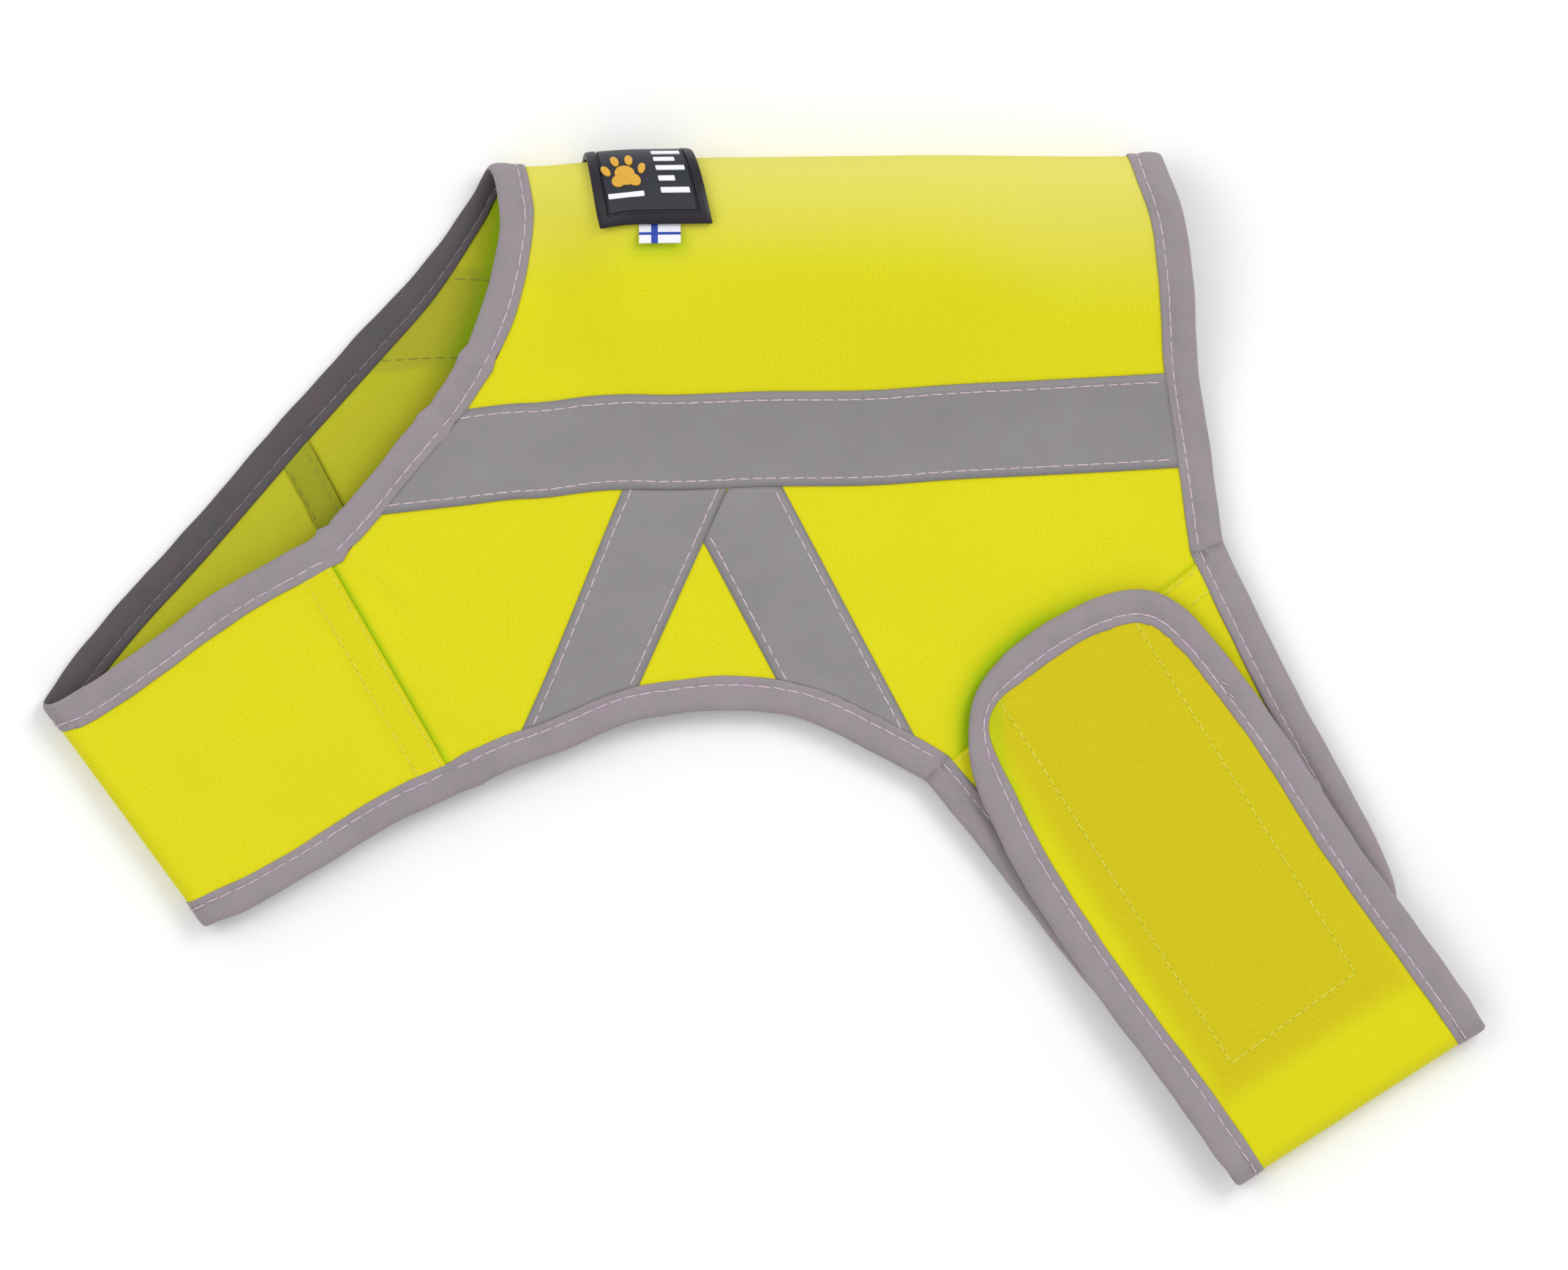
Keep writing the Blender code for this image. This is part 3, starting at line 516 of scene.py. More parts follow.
chest.creases += [
    ((20.0, 22.0), (46.0, 70.0), 11.0, 0.5),
    ((4.0, 46.0), (30.0, 88.0), 9.0, -0.35),
    ((52.0, 18.0), (58.0, 64.0), 7.0, -0.3),
    ((6.0, -40.0), (34.0, -70.0), 9.0, -0.35)]
belly.creases += [
    ((66.0, 18.0), (63.5, 132.0), 3.2, -0.45),
    ((9.5, 22.0), (9.0, 128.0), 2.6, -0.5),
    ((30.0, 8.0), (52.0, 22.0), 7.0, 0.4),
    ((12.0, 142.0), (24.0, 137.0), 3.0, 0.3)]
under.creases += [((6.0, 60.0), (12.0, 96.0), 7.0, -0.25)]
print("soft creases:", len(spine.creases) + len(chest.creases) + len(belly.creases))

# %% Puckers along an edge
def puckers(edge, toward, spacing, length, width, height, seed, sign=0):
    """Short creases that start at an edge and run into the cloth."""
    draw = random.Random(seed)
    at = distance_along(edge)
    made = []
    here = draw.uniform(0.2, 1.0) * spacing
    while here < at[-1]:
        start = np.array([np.interp(here, at, edge[:, c]) for c in (0, 1)])
        inside = np.array([np.interp(here, at, toward[:, c]) for c in (0, 1)]) - start
        inside /= np.linalg.norm(inside)
        slant = np.array((-inside[1], inside[0])) * draw.uniform(-0.35, 0.35)
        end = start + (inside + slant) * length * draw.uniform(0.55, 1.35)
        depth = height * draw.uniform(0.35, 1.1)
        depth *= sign if sign else draw.choice((-1, 1))
        made.append((start, end, width * draw.uniform(0.7, 1.3), depth))
        here += spacing * draw.uniform(0.55, 1.6)
    return made


def wave(at, seed, lengths, height):
    """Uneven wave along a run."""
    draw = random.Random(seed)
    total = np.zeros(at.shape)
    for length in lengths:
        total += np.sin(2 * math.pi * (at / length + draw.random())) * draw.uniform(0.5, 1.0)
    return total * height / len(lengths)


INTO = 6
ROLL_START = BODY_ROWS[0]
ARCH = slice(BODY_COLUMNS[0] + 2, BODY_COLUMNS[0] + BODY_COLUMNS[1] - 1)
spine.creases += puckers(body[0, :ROLL_START], body[INTO, :ROLL_START], 9.0, 15.0, 2.3, 0.22, 3)
spine.creases += puckers(body[-1, :ROLL_START], body[-1 - INTO, :ROLL_START],
                         11.0, 14.0, 2.4, 0.2, 5)
spine.creases += puckers(body[ARCH, 0], body[ARCH, INTO], 8.5, 15.0, 2.4, 0.24, 7)
spine.creases += puckers(body[ARCH, -1], body[ARCH, -1 - INTO], 10.0, 14.0, 2.4, 0.2, 9, -1)
spine.creases += puckers(body[0, -BODY_ROWS[2]:], body[INTO, -BODY_ROWS[2]:],
                         10.0, 15.0, 2.4, 0.22, 11, -1)
BAND_NEAR = slice(2, sum(BAND_ROWS[:3]))
chest.creases += puckers(band[0, BAND_NEAR], band[INTO, BAND_NEAR], 9.0, 14.0, 2.3, 0.2, 13)
chest.creases += puckers(band[-1, BAND_NEAR], band[-1 - INTO, BAND_NEAR], 9.0, 14.0, 2.3, 0.22, 15)
STRAP_ON_TOP = slice(sum(STRAP_FAR_ROWS_FINE[:4]), None)
belly.creases += puckers(far_strap[0, STRAP_ON_TOP], far_strap[INTO, STRAP_ON_TOP],
                         10.0, 13.0, 2.3, 0.18, 17)
belly.creases += puckers(far_strap[-1, STRAP_ON_TOP], far_strap[-1 - INTO, STRAP_ON_TOP],
                         9.0, 13.0, 2.3, 0.2, 19)
print("creases and puckers:", len(spine.creases), len(chest.creases), len(belly.creases))

# %% [markdown]
# ## Materials
# Colours are picked as on screen and turned to linear light by one function.
# The weave lives in an attribute named "cut", which holds each point's place
# on the flat cut in millimetres, so that it bends with the cloth.

# %% Colour and node helpers
def linear(code):
    """Linear colour from an sRGB hex value."""
    values = [int(code[k:k + 2], 16) / 255 for k in (1, 3, 5)]
    return (*[v / 12.92 if v <= 0.04045 else ((v + 0.055) / 1.055) ** 2.4 for v in values], 1.0)


def add(tree, kind, inputs=(), **settings):
    """Adds a node, with its settings, and its inputs as values or links."""
    node = tree.nodes.new(kind)
    for name, value in settings.items():
        setattr(node, name, value)
    for key, value in dict(inputs).items():
        if isinstance(value, bpy.types.NodeSocket):
            tree.links.new(value, node.inputs[key])
        else:
            node.inputs[key].default_value = value
    return node


def new_material(name):
    """A material with its tree, Principled shader and cut coordinates in mm."""
    made = bpy.data.materials.new(name)
    made.use_nodes = True
    tree = made.node_tree
    cut = add(tree, "ShaderNodeAttribute", attribute_name="cut")
    return made, tree, tree.nodes["Principled BSDF"], cut.outputs["Vector"]


def band_scale(pitch):
    """Scale of a Wave texture whose bands repeat at that pitch, in mm."""
    return 2 * math.pi / 20 / pitch


print("linear yellow:", [round(v, 3) for v in linear("#e6e02a")])

# %% [markdown]
# ### Painted shade and sheen on the yellow
# Shade on the fluorescent yellow looks green, which light in Cycles doesn't
# give, so the yellow is painted greener where shade falls under other pieces
# and in hollows: painted shade. Along the roll of the back it is painted
# paler: a painted sheen. An attribute named "tint" holds how much painted
# shade and painted sheen each point has, and every yellow finish reads it here.

# %% Tint
# colours of the painted shade and of the painted sheen
PAINTED_SHADE_COLOUR = "#93c200"
PAINTED_SHEEN_COLOUR = "#dcd56e"


def paint_shade_and_sheen(tree, colour):
    """The colour with painted sheen by the tint's second value and painted shade by its first."""
    tint = add(tree, "ShaderNodeAttribute", attribute_name="tint")
    shares = add(tree, "ShaderNodeSeparateXYZ", {0: tint.outputs["Vector"]})
    paler = add(tree, "ShaderNodeMix", {"Factor": shares.outputs["Y"], 6: colour,
                7: linear(PAINTED_SHEEN_COLOUR)}, data_type="RGBA")
    return add(tree, "ShaderNodeMix", {"Factor": shares.outputs["X"], 6: paler.outputs[2],
               7: linear(PAINTED_SHADE_COLOUR)}, data_type="RGBA")


print("tint colours:", PAINTED_SHADE_COLOUR, PAINTED_SHEEN_COLOUR)

# %% [markdown]
# ### Fluorescent softshell
# Polyester knit, piece-dyed a fluorescent yellow and bonded to a thin
# membrane. The knit gives fine ribs on a slant, a matt face and a soft sheen
# at grazing angles. Modelled loops would need millions of faces, so two Wave
# textures cross as ribs and courses, bent a little so that no row is
# straight. The real loops are about 0.5 mm apart, and they are drawn a
# little coarser so that they show.

# %% Softshell knit
KNIT_RIB = 0.62
KNIT_COURSE = 0.74


def softshell(name, light, dark, shade, backed):
    """Knitted face: ribs across slanted courses, with a mottled dye.

    The third value of the cut says where another layer backs the cloth.
    """
    made, tree, shader, cut = new_material(name)
    rib = add(tree, "ShaderNodeTexWave", {"Vector": cut, "Scale": band_scale(KNIT_RIB),
              "Distortion": 2.4, "Detail": 2.0, "Detail Scale": 1.6},
              wave_type="BANDS", bands_direction="X")
    slanted = add(tree, "ShaderNodeMapping", {"Vector": cut, "Rotation": (0, 0, math.radians(32))})
    course = add(tree, "ShaderNodeTexWave", {"Vector": slanted.outputs[0],
                 "Scale": band_scale(KNIT_COURSE), "Distortion": 2.6, "Detail": 2.0,
                 "Detail Scale": 1.8}, wave_type="BANDS", bands_direction="Y")
    loops = add(tree, "ShaderNodeMath", {0: course.outputs["Fac"], 1: 0.45,
                2: rib.outputs["Fac"]}, operation="MULTIPLY_ADD")
    fuzz = add(tree, "ShaderNodeTexNoise", {"Vector": cut, "Scale": 1.5, "Detail": 6.0,
               "Roughness": 0.8})
    patches = add(tree, "ShaderNodeTexNoise", {"Vector": cut, "Scale": 0.035, "Detail": 3.0})
    tone = add(tree, "ShaderNodeMath", {0: loops.outputs[0], 1: 0.18, 2: fuzz.outputs["Fac"]},
               operation="MULTIPLY_ADD")
    ramp = add(tree, "ShaderNodeMapRange", {"Value": tone.outputs[0], "From Min": 0.405,
               "From Max": 0.865, "To Min": 0.0, "To Max": 1.0})
    dyed = add(tree, "ShaderNodeMix", {"Factor": ramp.outputs[0], 6: linear(dark),
               7: linear(light)}, data_type="RGBA")
    share = add(tree, "ShaderNodeMapRange", {"Value": patches.outputs["Fac"], "From Min": 0.35,
                "From Max": 0.7, "To Min": 0.0, "To Max": 0.55})
    toned = add(tree, "ShaderNodeMix", {"Factor": share.outputs[0], 6: dyed.outputs[2],
                7: linear(shade)}, data_type="RGBA")
    third = add(tree, "ShaderNodeSeparateXYZ", {0: cut})
    lined = add(tree, "ShaderNodeMix", {"Factor": third.outputs["Z"], 6: toned.outputs[2],
                7: linear(backed)}, data_type="RGBA")
    # painted shade and painted sheen from the tint attribute
    whole = paint_shade_and_sheen(tree, lined.outputs[2])
    bump = add(tree, "ShaderNodeBump", {"Height": tone.outputs[0], "Strength": 0.3,
               "Distance": 0.0002})
    tree.links.new(whole.outputs[2], shader.inputs["Base Color"])
    tree.links.new(bump.outputs[0], shader.inputs["Normal"])
    shader.inputs["Roughness"].default_value = 0.85
    shader.inputs["Specular IOR Level"].default_value = 0.2
    shader.inputs["Sheen Weight"].default_value = 0.22
    shader.inputs["Sheen Roughness"].default_value = 0.3
    shader.inputs["Sheen Tint"].default_value = linear("#fdfcb4")
    return made


KNIT_FACE = softshell("Fluorescent softshell, knitted face", "#e9e41e", "#d0c90c", "#dbd316",
                      "#cfc00f")
# The inner face is a darker copy of the knitted face: painted shade inside the vest, where the near
# layer keeps the light off.
KNIT_INSIDE_SHADED = softshell("Fluorescent softshell, inside", "#c6c52b", "#afb122", "#b9b626", "#acab2a")
# The doubled seam allowance is darker again: painted shade of the trough along the seam.
KNIT_DOUBLED_SHADED = softshell("Fluorescent softshell, doubled inside a seam", "#a9ad24", "#8f9420",
                        "#9a9c22", "#97962a")
print("materials:", KNIT_FACE.name, "and", KNIT_INSIDE_SHADED.name)

# %% [markdown]
# ### Strap twill
# A denser polyester twill than the body's knit. Its slanted rib is about
# 0.6 mm, and it is drawn a little coarser so that it shows. Over the stitched
# hook panel the strap looks more mustard, because the panel shows through,
# so a second pair of colours is mixed in there by the cut's third value.

# %% Twill
TWILL_RIB = 0.68
TWILL_WEFT = 0.62


def twill():
    """Slanted ribs over a fainter weft."""
    made, tree, shader, cut = new_material("Fluorescent polyester twill")
    slanted = add(tree, "ShaderNodeMapping", {"Vector": cut, "Rotation": (0, 0, math.radians(58))})
    rib = add(tree, "ShaderNodeTexWave", {"Vector": slanted.outputs[0],
              "Scale": band_scale(TWILL_RIB), "Distortion": 0.5, "Detail": 1.0,
              "Detail Scale": 3.0}, wave_type="BANDS", bands_direction="X")
    weft = add(tree, "ShaderNodeTexWave", {"Vector": cut, "Scale": band_scale(TWILL_WEFT),
               "Distortion": 0.8, "Detail": 1.0}, wave_type="BANDS", bands_direction="Y")
    fuzz = add(tree, "ShaderNodeTexNoise", {"Vector": cut, "Scale": 1.4, "Detail": 6.0,
               "Roughness": 0.8})
    woven = add(tree, "ShaderNodeMath", {0: weft.outputs["Fac"], 1: 0.6, 2: rib.outputs["Fac"]},
                operation="MULTIPLY_ADD")
    tone = add(tree, "ShaderNodeMath", {0: woven.outputs[0], 1: 0.3, 2: fuzz.outputs["Fac"]},
               operation="MULTIPLY_ADD")
    ramp = add(tree, "ShaderNodeMapRange", {"Value": tone.outputs[0], "From Min": 0.42,
               "From Max": 1.1, "To Min": 0.0, "To Max": 1.0})
    bare = add(tree, "ShaderNodeMix", {"Factor": ramp.outputs[0], 6: linear("#d3cc08"),
               7: linear("#e5df10")}, data_type="RGBA")
    backed = add(tree, "ShaderNodeMix", {"Factor": ramp.outputs[0], 6: linear("#c4b40c"),
                 7: linear("#dacb18")}, data_type="RGBA")
    panel = add(tree, "ShaderNodeSeparateXYZ", {0: cut})
    toned = add(tree, "ShaderNodeMix", {"Factor": panel.outputs["Z"], 6: bare.outputs[2],
                7: backed.outputs[2]}, data_type="RGBA")
    bump = add(tree, "ShaderNodeBump", {"Height": tone.outputs[0], "Strength": 0.4,
               "Distance": 0.0002})
    # painted shade and painted sheen from the tint attribute
    whole = paint_shade_and_sheen(tree, toned.outputs[2])
    tree.links.new(whole.outputs[2], shader.inputs["Base Color"])
    tree.links.new(bump.outputs[0], shader.inputs["Normal"])
    shader.inputs["Roughness"].default_value = 0.82
    shader.inputs["Specular IOR Level"].default_value = 0.2
    shader.inputs["Sheen Weight"].default_value = 0.06
    return made


TWILL = twill()
print("material:", TWILL.name)

# %% [markdown]
# ### Grey binding, reflective tape and the rest
# The binding is a folded polyester strip with fine ribs along its length.
# The tape is cotton coated with glass beads, which gives it an even grey
# and a faint metallic sheen. Pile, thread and ribbon differ from them only in
# colour, grain and gloss, so one finish serves them all: ribs, a fine and a
# wide noise for wear, and a third colour in patches. Its pitch and its bump
# are in millimetres.

# %% Plain woven and coated finishes
def woven_finish(name, colours, pitch, grain, roughness, depth, metallic=0.0, sheen=0.0,
                 ribs=0.15):
    """Fine ribs with grain, in a light and a dark tone and patches of a third."""
    light, dark, patch = colours
    made, tree, shader, cut = new_material(name)
    rib = add(tree, "ShaderNodeTexWave", {"Vector": cut, "Scale": band_scale(pitch),
              "Distortion": 0.8, "Detail": 1.0, "Detail Scale": 2.0},
              wave_type="BANDS", bands_direction="DIAGONAL")
    fine = add(tree, "ShaderNodeTexNoise", {"Vector": cut, "Scale": grain, "Detail": 4.0,
               "Roughness": 0.65})
    wide = add(tree, "ShaderNodeTexNoise", {"Vector": cut, "Scale": 0.07, "Detail": 3.0})
    tone = add(tree, "ShaderNodeMath", {0: rib.outputs["Fac"], 1: ribs, 2: fine.outputs["Fac"]},
               operation="MULTIPLY_ADD")
    worn = add(tree, "ShaderNodeMath", {0: wide.outputs["Fac"], 1: 0.8, 2: tone.outputs[0]},
               operation="MULTIPLY_ADD")
    ramp = add(tree, "ShaderNodeMapRange", {"Value": worn.outputs[0], "From Min": 0.55,
               "From Max": 1.35, "To Min": 0.0, "To Max": 1.0})
    toned = add(tree, "ShaderNodeMix", {"Factor": ramp.outputs[0], 6: linear(dark),
                7: linear(light)}, data_type="RGBA")
    spread = add(tree, "ShaderNodeTexNoise", {"Vector": cut, "Scale": 0.16, "Detail": 4.0,
                 "Roughness": 0.6})
    share = add(tree, "ShaderNodeMapRange", {"Value": spread.outputs["Fac"], "From Min": 0.42,
                "From Max": 0.66, "To Min": 0.0, "To Max": 0.8})
    patched = add(tree, "ShaderNodeMix", {"Factor": share.outputs[0], 6: toned.outputs[2],
                  7: linear(patch)}, data_type="RGBA")
    bump = add(tree, "ShaderNodeBump", {"Height": tone.outputs[0], "Strength": 0.4,
               "Distance": depth * MM})
    tree.links.new(patched.outputs[2], shader.inputs["Base Color"])
    tree.links.new(bump.outputs[0], shader.inputs["Normal"])
    shader.inputs["Roughness"].default_value = roughness
    shader.inputs["Metallic"].default_value = metallic
    shader.inputs["Specular IOR Level"].default_value = 0.3
    shader.inputs["Sheen Weight"].default_value = sheen
    return made


BINDING = woven_finish("Grey polyester binding", ("#9c9598", "#868083", "#9b8b94"),
                       pitch=0.55, grain=1.6, roughness=0.72, depth=0.1, sheen=0.1)
# The binding's inside is a darker copy of its grey: painted shade inside the neck.
BINDING_INSIDE_SHADED = woven_finish("Grey polyester binding, inside", ("#5e5a5c", "#4a4748", "#5c5058"),
                            pitch=0.55, grain=1.6, roughness=0.8, depth=0.1)
TAPE = woven_finish("Glass bead reflective tape", ("#929090", "#828081", "#8f878b"),
                    pitch=0.45, grain=2.4, roughness=0.55, depth=0.05, metallic=0.1, ribs=0.1)
PILE = woven_finish("Hook and loop pile", ("#cfc63c", "#b3a92c", "#c8bd36"),
                    pitch=1.1, grain=2.6, roughness=0.95, depth=0.5, sheen=0.4, ribs=0.35)


def thread_finish(name, *colours, roughness=0.6, depth=0.05):
    """Twisted polyester thread."""
    return woven_finish(name, colours, pitch=0.5, grain=1.1, roughness=roughness, depth=depth)


def satin_finish(name, *colours):
    """Smooth satin ribbon."""
    return woven_finish(name, colours, pitch=0.3, grain=3.0, roughness=0.45, depth=0.03)


THREAD = thread_finish("Pinkish white polyester thread", "#dfcdd8", "#bda6b5", "#cdb3c4")
# The thread of the inner side is a darker grey: painted shade inside the neck.
BOBBIN_THREAD_SHADED = thread_finish("Grey polyester thread of the inner side",
                              "#8d868b", "#6f686d", "#7f757c")
# Olive thread: the cloth's colour, painted darker as shade inside the neck.
OLIVE_THREAD_SHADED = thread_finish("Olive polyester thread of the inner side",
                             "#a8a73c", "#87862c", "#98963a")
YELLOW_THREAD = thread_finish("Pale yellow polyester thread", "#e9e95e", "#cccb36", "#dcdc4c")
# The needle holes are short, flat, dark threads: painted shade in the holes.
NEEDLE_HOLE_SHADE = thread_finish("Needle holes", "#a3a21f", "#8b8a18", "#97961c",
                            roughness=0.9, depth=0.0)
RIBBON_WHITE = satin_finish("White satin ribbon", "#f6f6fa", "#e6e6f0", "#ececf6")
RIBBON_BLUE = satin_finish("Blue satin ribbon", "#2b4fb4", "#22409c", "#2c49ac")
print("materials so far:", len(bpy.data.materials))

# %% [markdown]
# ### Moulded rubber
# The label is poured in soft rubber, one colour after another. It is dull
# with a faint orange peel, which a noise makes as a low bump and as a slight
# change of tone.

# %% Moulded rubber
def rubber(name, light, dark, roughness):
    """Soft moulded rubber: dull, with a faint orange peel."""
    made, tree, shader, cut = new_material(name)
    peel = add(tree, "ShaderNodeTexNoise", {"Vector": cut, "Scale": 2.4, "Detail": 4.0})
    toned = add(tree, "ShaderNodeMix", {"Factor": peel.outputs["Fac"], 6: linear(dark),
                7: linear(light)}, data_type="RGBA")
    bump = add(tree, "ShaderNodeBump", {"Height": peel.outputs["Fac"], "Strength": 0.3,
               "Distance": 0.00008})
    tree.links.new(toned.outputs[2], shader.inputs["Base Color"])
    tree.links.new(bump.outputs[0], shader.inputs["Normal"])
    shader.inputs["Roughness"].default_value = roughness
    shader.inputs["Specular IOR Level"].default_value = 0.4
    return made


RUBBER = rubber("Black moulded rubber", "#2b2e38", "#1f222b", 0.5)
RUBBER_RIM = rubber("Black moulded rubber rim", "#1c1620", "#120e16", 0.42)
RUBBER_WHITE = rubber("White moulded rubber", "#f6f7f8", "#e6e8ec", 0.45)
RUBBER_GOLD = rubber("Golden moulded rubber", "#e8b440", "#cf962a", 0.45)
print("materials now:", len(bpy.data.materials))

# %% [markdown]
# ## Shells
# A cloth piece is a thin closed shell: an outer face, an inner face and a
# rim. A plane with a thickness modifier would do for flat cloth, but here
# both faces are worked out as grids of points, so that seams and dents can
# differ between them. The function below closes the two grids, and a piece
# whose volume comes out below zero is turned the right way out.

# %% Mesh from grids
def make_piece(name, points, faces, materials, face_materials, cut):
    """A finished piece at the origin, with its place on the cut stored."""
    points = (np.asarray(points) + TO_ORIGIN) * MM
    a, b, c, d = (points[corner] for corner in np.array(faces).T)
    volume = (a * np.cross(b, c)).sum() + (a * np.cross(c, d)).sum()
    if volume < 0:
        faces = [tuple(reversed(face)) for face in faces]
    mesh = bpy.data.meshes.new(name)
    mesh.from_pydata(points.tolist(), [], faces)
    for material in materials:
        mesh.materials.append(material)
    mesh.polygons.foreach_set("material_index", np.asarray(face_materials, dtype=np.int32))
    mesh.shade_smooth()
    stored = mesh.attributes.new("cut", "FLOAT_VECTOR", "POINT")
    stored.data.foreach_set("vector", np.asarray(cut, dtype=np.float32).ravel())
    piece = bpy.data.objects.new(name, mesh)
    bpy.context.scene.collection.objects.link(piece)
    return piece


def grid_shell(name, outer, inner, cut, materials):
    """Closed shell between two grids of points."""
    columns, rows = outer.shape[:2]
    count = columns * rows
    index = np.arange(count).reshape(columns, rows)
    quads = np.stack((index[:-1, :-1], index[1:, :-1], index[1:, 1:], index[:-1, 1:]), -1)
    quads = quads.reshape(-1, 4)
    border = np.concatenate((index[:, 0], index[-1, 1:], index[-2::-1, -1], index[0, -2:0:-1]))
    after = np.roll(border, -1)
    rim = np.stack((after, border, border + count, after + count), -1)
    faces = np.concatenate((quads, quads[:, ::-1] + count, rim))
    face_materials = np.zeros(len(faces), dtype=int)
    face_materials[len(quads):2 * len(quads)] = len(materials) - 1
    points = np.concatenate((outer.reshape(-1, 3), inner.reshape(-1, 3)))
    both = np.concatenate((cut.reshape(-1, 3), cut.reshape(-1, 3)))
    return make_piece(name, points, faces.tolist(), materials, face_materials, both)


def on_cut(places, third=None):
    """Places with a third value, which a material may read."""
    third = np.zeros(places.shape[:-1]) if third is None else third
    return np.concatenate((places, third[..., None]), axis=-1)


def stand_for(piece, node):
    """Puts a piece in its node's place."""
    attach(piece, "root")
    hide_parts(node)


def declare_cloth(piece, node):
    """Puts a cloth piece in its node's place."""
    stand_for(piece, node)


# %% [markdown]
# ## The yellow pieces
# Four pieces of cloth are cut and sewn: the body, the chest band and the two
# belly straps. All are shells on their folds, made straight from the cut
# instead of by a cloth simulation, which would come out a little different
# each time and wouldn't keep to the outlines in the photograph.

# %% Where things lie on the cloth
def across_on(table, x):
    """Where the middle line of a flank tape is, across the cloth."""
    rows = np.array(table)
    return spline(rows[:, 0], rows[:, 1], x)


def near_line(points, line, reach):
    """1 on a line seen from above, easing to 0 beyond the reach."""
    gaps = [np.hypot(points[..., 0] - place[0], points[..., 1] - place[1]) for place in line]
    return np.exp(-(np.min(gaps, axis=0) / reach) ** 2)


def store_painted_shade_and_sheen(piece, shade_share, sheen_share, inside_shade_share):
    """Stores the painted shade and painted sheen for the outer face of a shell, and the painted
    shade for its inner face.
    """
    none = np.zeros(shade_share.shape)
    faces = [np.stack(values, axis=-1).reshape(-1, 3)
             for values in ((shade_share, sheen_share, none), (inside_shade_share, none, none))]
    stored = piece.data.attributes.new("tint", "FLOAT_VECTOR", "POINT")
    stored.data.foreach_set("vector", np.concatenate(faces).astype(np.float32).ravel())


print("flank tape at the middle:", across_on(FLANK_NEAR, 0.0), "mm across")

# %% [markdown]
# ### Body
# One panel from the near side over the back to the far side. It slips a
# little under the chest band and the near strap, so its edge drops there,
# and the folded edge of the sewn piece lies on top and throws a thin shadow.
# The tint marks where painted shade and painted sheen lie on it.

# %% Body's edge under its seams
SEAM_TUCK = 1.6
SEAM_DROP = 1.1
DROP_REACH = 3.4
UNDER_BINDING = 7.5


def seam_drop(places):
    """How far the body's lower near edge drops under the pieces sewn to it."""
    from_edge = np.linalg.norm(places - places[:, :1], axis=-1) / DROP_REACH
    column = np.arange(places.shape[0])[:, None]
    sewn = np.maximum(1 - smooth((column - CHEST_END) / 3), smooth((column - ARCH_END + 3) / 3))
    corners = places[[0, CHEST_END, ARCH_END, -1], 0]
    from_corner = np.linalg.norm(places[:, :1] - corners[None], axis=-1).min(axis=1)[:, None]
    open_share = smooth((from_corner - UNDER_BINDING) / 3.0)
    return SEAM_DROP * sewn * open_share * (1 - smooth(from_edge))


body_fine = body_places(-SEAM_TUCK, SEAM / 2)
drop = seam_drop(body_fine)
print("drop:", round(float(drop.max()), 2), "mm")

# %% Painted shade and painted sheen on the body
# how far each painted shade reaches, from the strap's end, the seams, the tag and the neck's edge
TAG_SHADE = ((-33.0, 29.6), (-23.6, 29.6))
REACH_OF_STRAP = 4.2
REACH_OF_SEAM = 1.1
REACH_OF_TAG = 3.2
REACH_OF_NECK = 4.6
# how strong the painted sheen on the roll is at the neck and at the rear, and how far it reaches
PALE_AT_NECK = 0.6
PALE_AT_REAR = 0.82
PALE_REACH = 38.0


def painted_shade_on_body(places, points):
    """Painted shade beside the strap's end, beside the chest and strap seams and under the tag."""
    rim = far_strap[:, -1], far_strap[0, sum(STRAP_FAR_ROWS_FINE[:5]):]
    line = np.vstack([belly.point(edge) for edge in rim])
    left_share = 0.25 + 0.75 * smooth((92.0 - points[..., 0]) / 26.0)
    strap = near_line(points, line, REACH_OF_STRAP) * left_share
    from_seam = np.linalg.norm(places - places[:, :1], axis=-1) - SEAM_TUCK
    seam = 0.85 * np.exp(-(np.maximum(from_seam, 0.0) / REACH_OF_SEAM) ** 2)
    column = np.arange(len(places))[:, None]
    seam = seam * ((column < CHEST_END) + 0.6 * (column > ARCH_END))
    tag = spine.point(between(*TAG_SHADE, 12))
    shade_share = np.maximum(np.maximum(strap, seam), 0.5 * near_line(points, tag, REACH_OF_TAG))
    return shade_share * (places[..., 1] > 0)


def painted_shade_in_neck(places, points):
    """Green shade on the far side, where the near edge of the neck hides it."""
    edge = spine.point(body[0, :ROLL_START + 12])
    share = smooth((points[..., 1] - 76.0) / 10.0)
    return 0.9 * near_line(points, edge, REACH_OF_NECK) * share * (places[..., 1] < 0)


def painted_sheen_on_roll(places):
    """Painted sheen: paler on the roll, most of all from its middle to the rear."""
    past_neck = smooth((places[..., 0] + 45.0) / 40.0)
    strong = PALE_AT_NECK + (PALE_AT_REAR - PALE_AT_NECK) * past_neck
    reach = PALE_REACH + 9.0 * smooth((places[..., 0] - 40.0) / 40.0)
    return strong * (1 - smooth((np.abs(places[..., 1]) - 4.0) / reach))


def over_far_tape(places):
    """1 where the far flank tape backs the cloth, which then looks darker."""
    middle = across_on(FLANK_FAR, places[..., 0])
    return 1 - smooth((np.abs(places[..., 1] - middle) - TAPE_WIDTH / 2) / 0.8)


print("pale share on the roll:", PALE_AT_NECK, "to", PALE_AT_REAR)

# %% Body
body_piece = grid_shell("vest_body", spine.raised(body_fine, CLOTH / 2 - drop),
                        spine.raised(body_fine, -CLOTH / 2 - drop),
                        on_cut(body_fine, over_far_tape(body_fine)), [KNIT_FACE, KNIT_INSIDE_SHADED])
body_points = spine.point(body_fine)
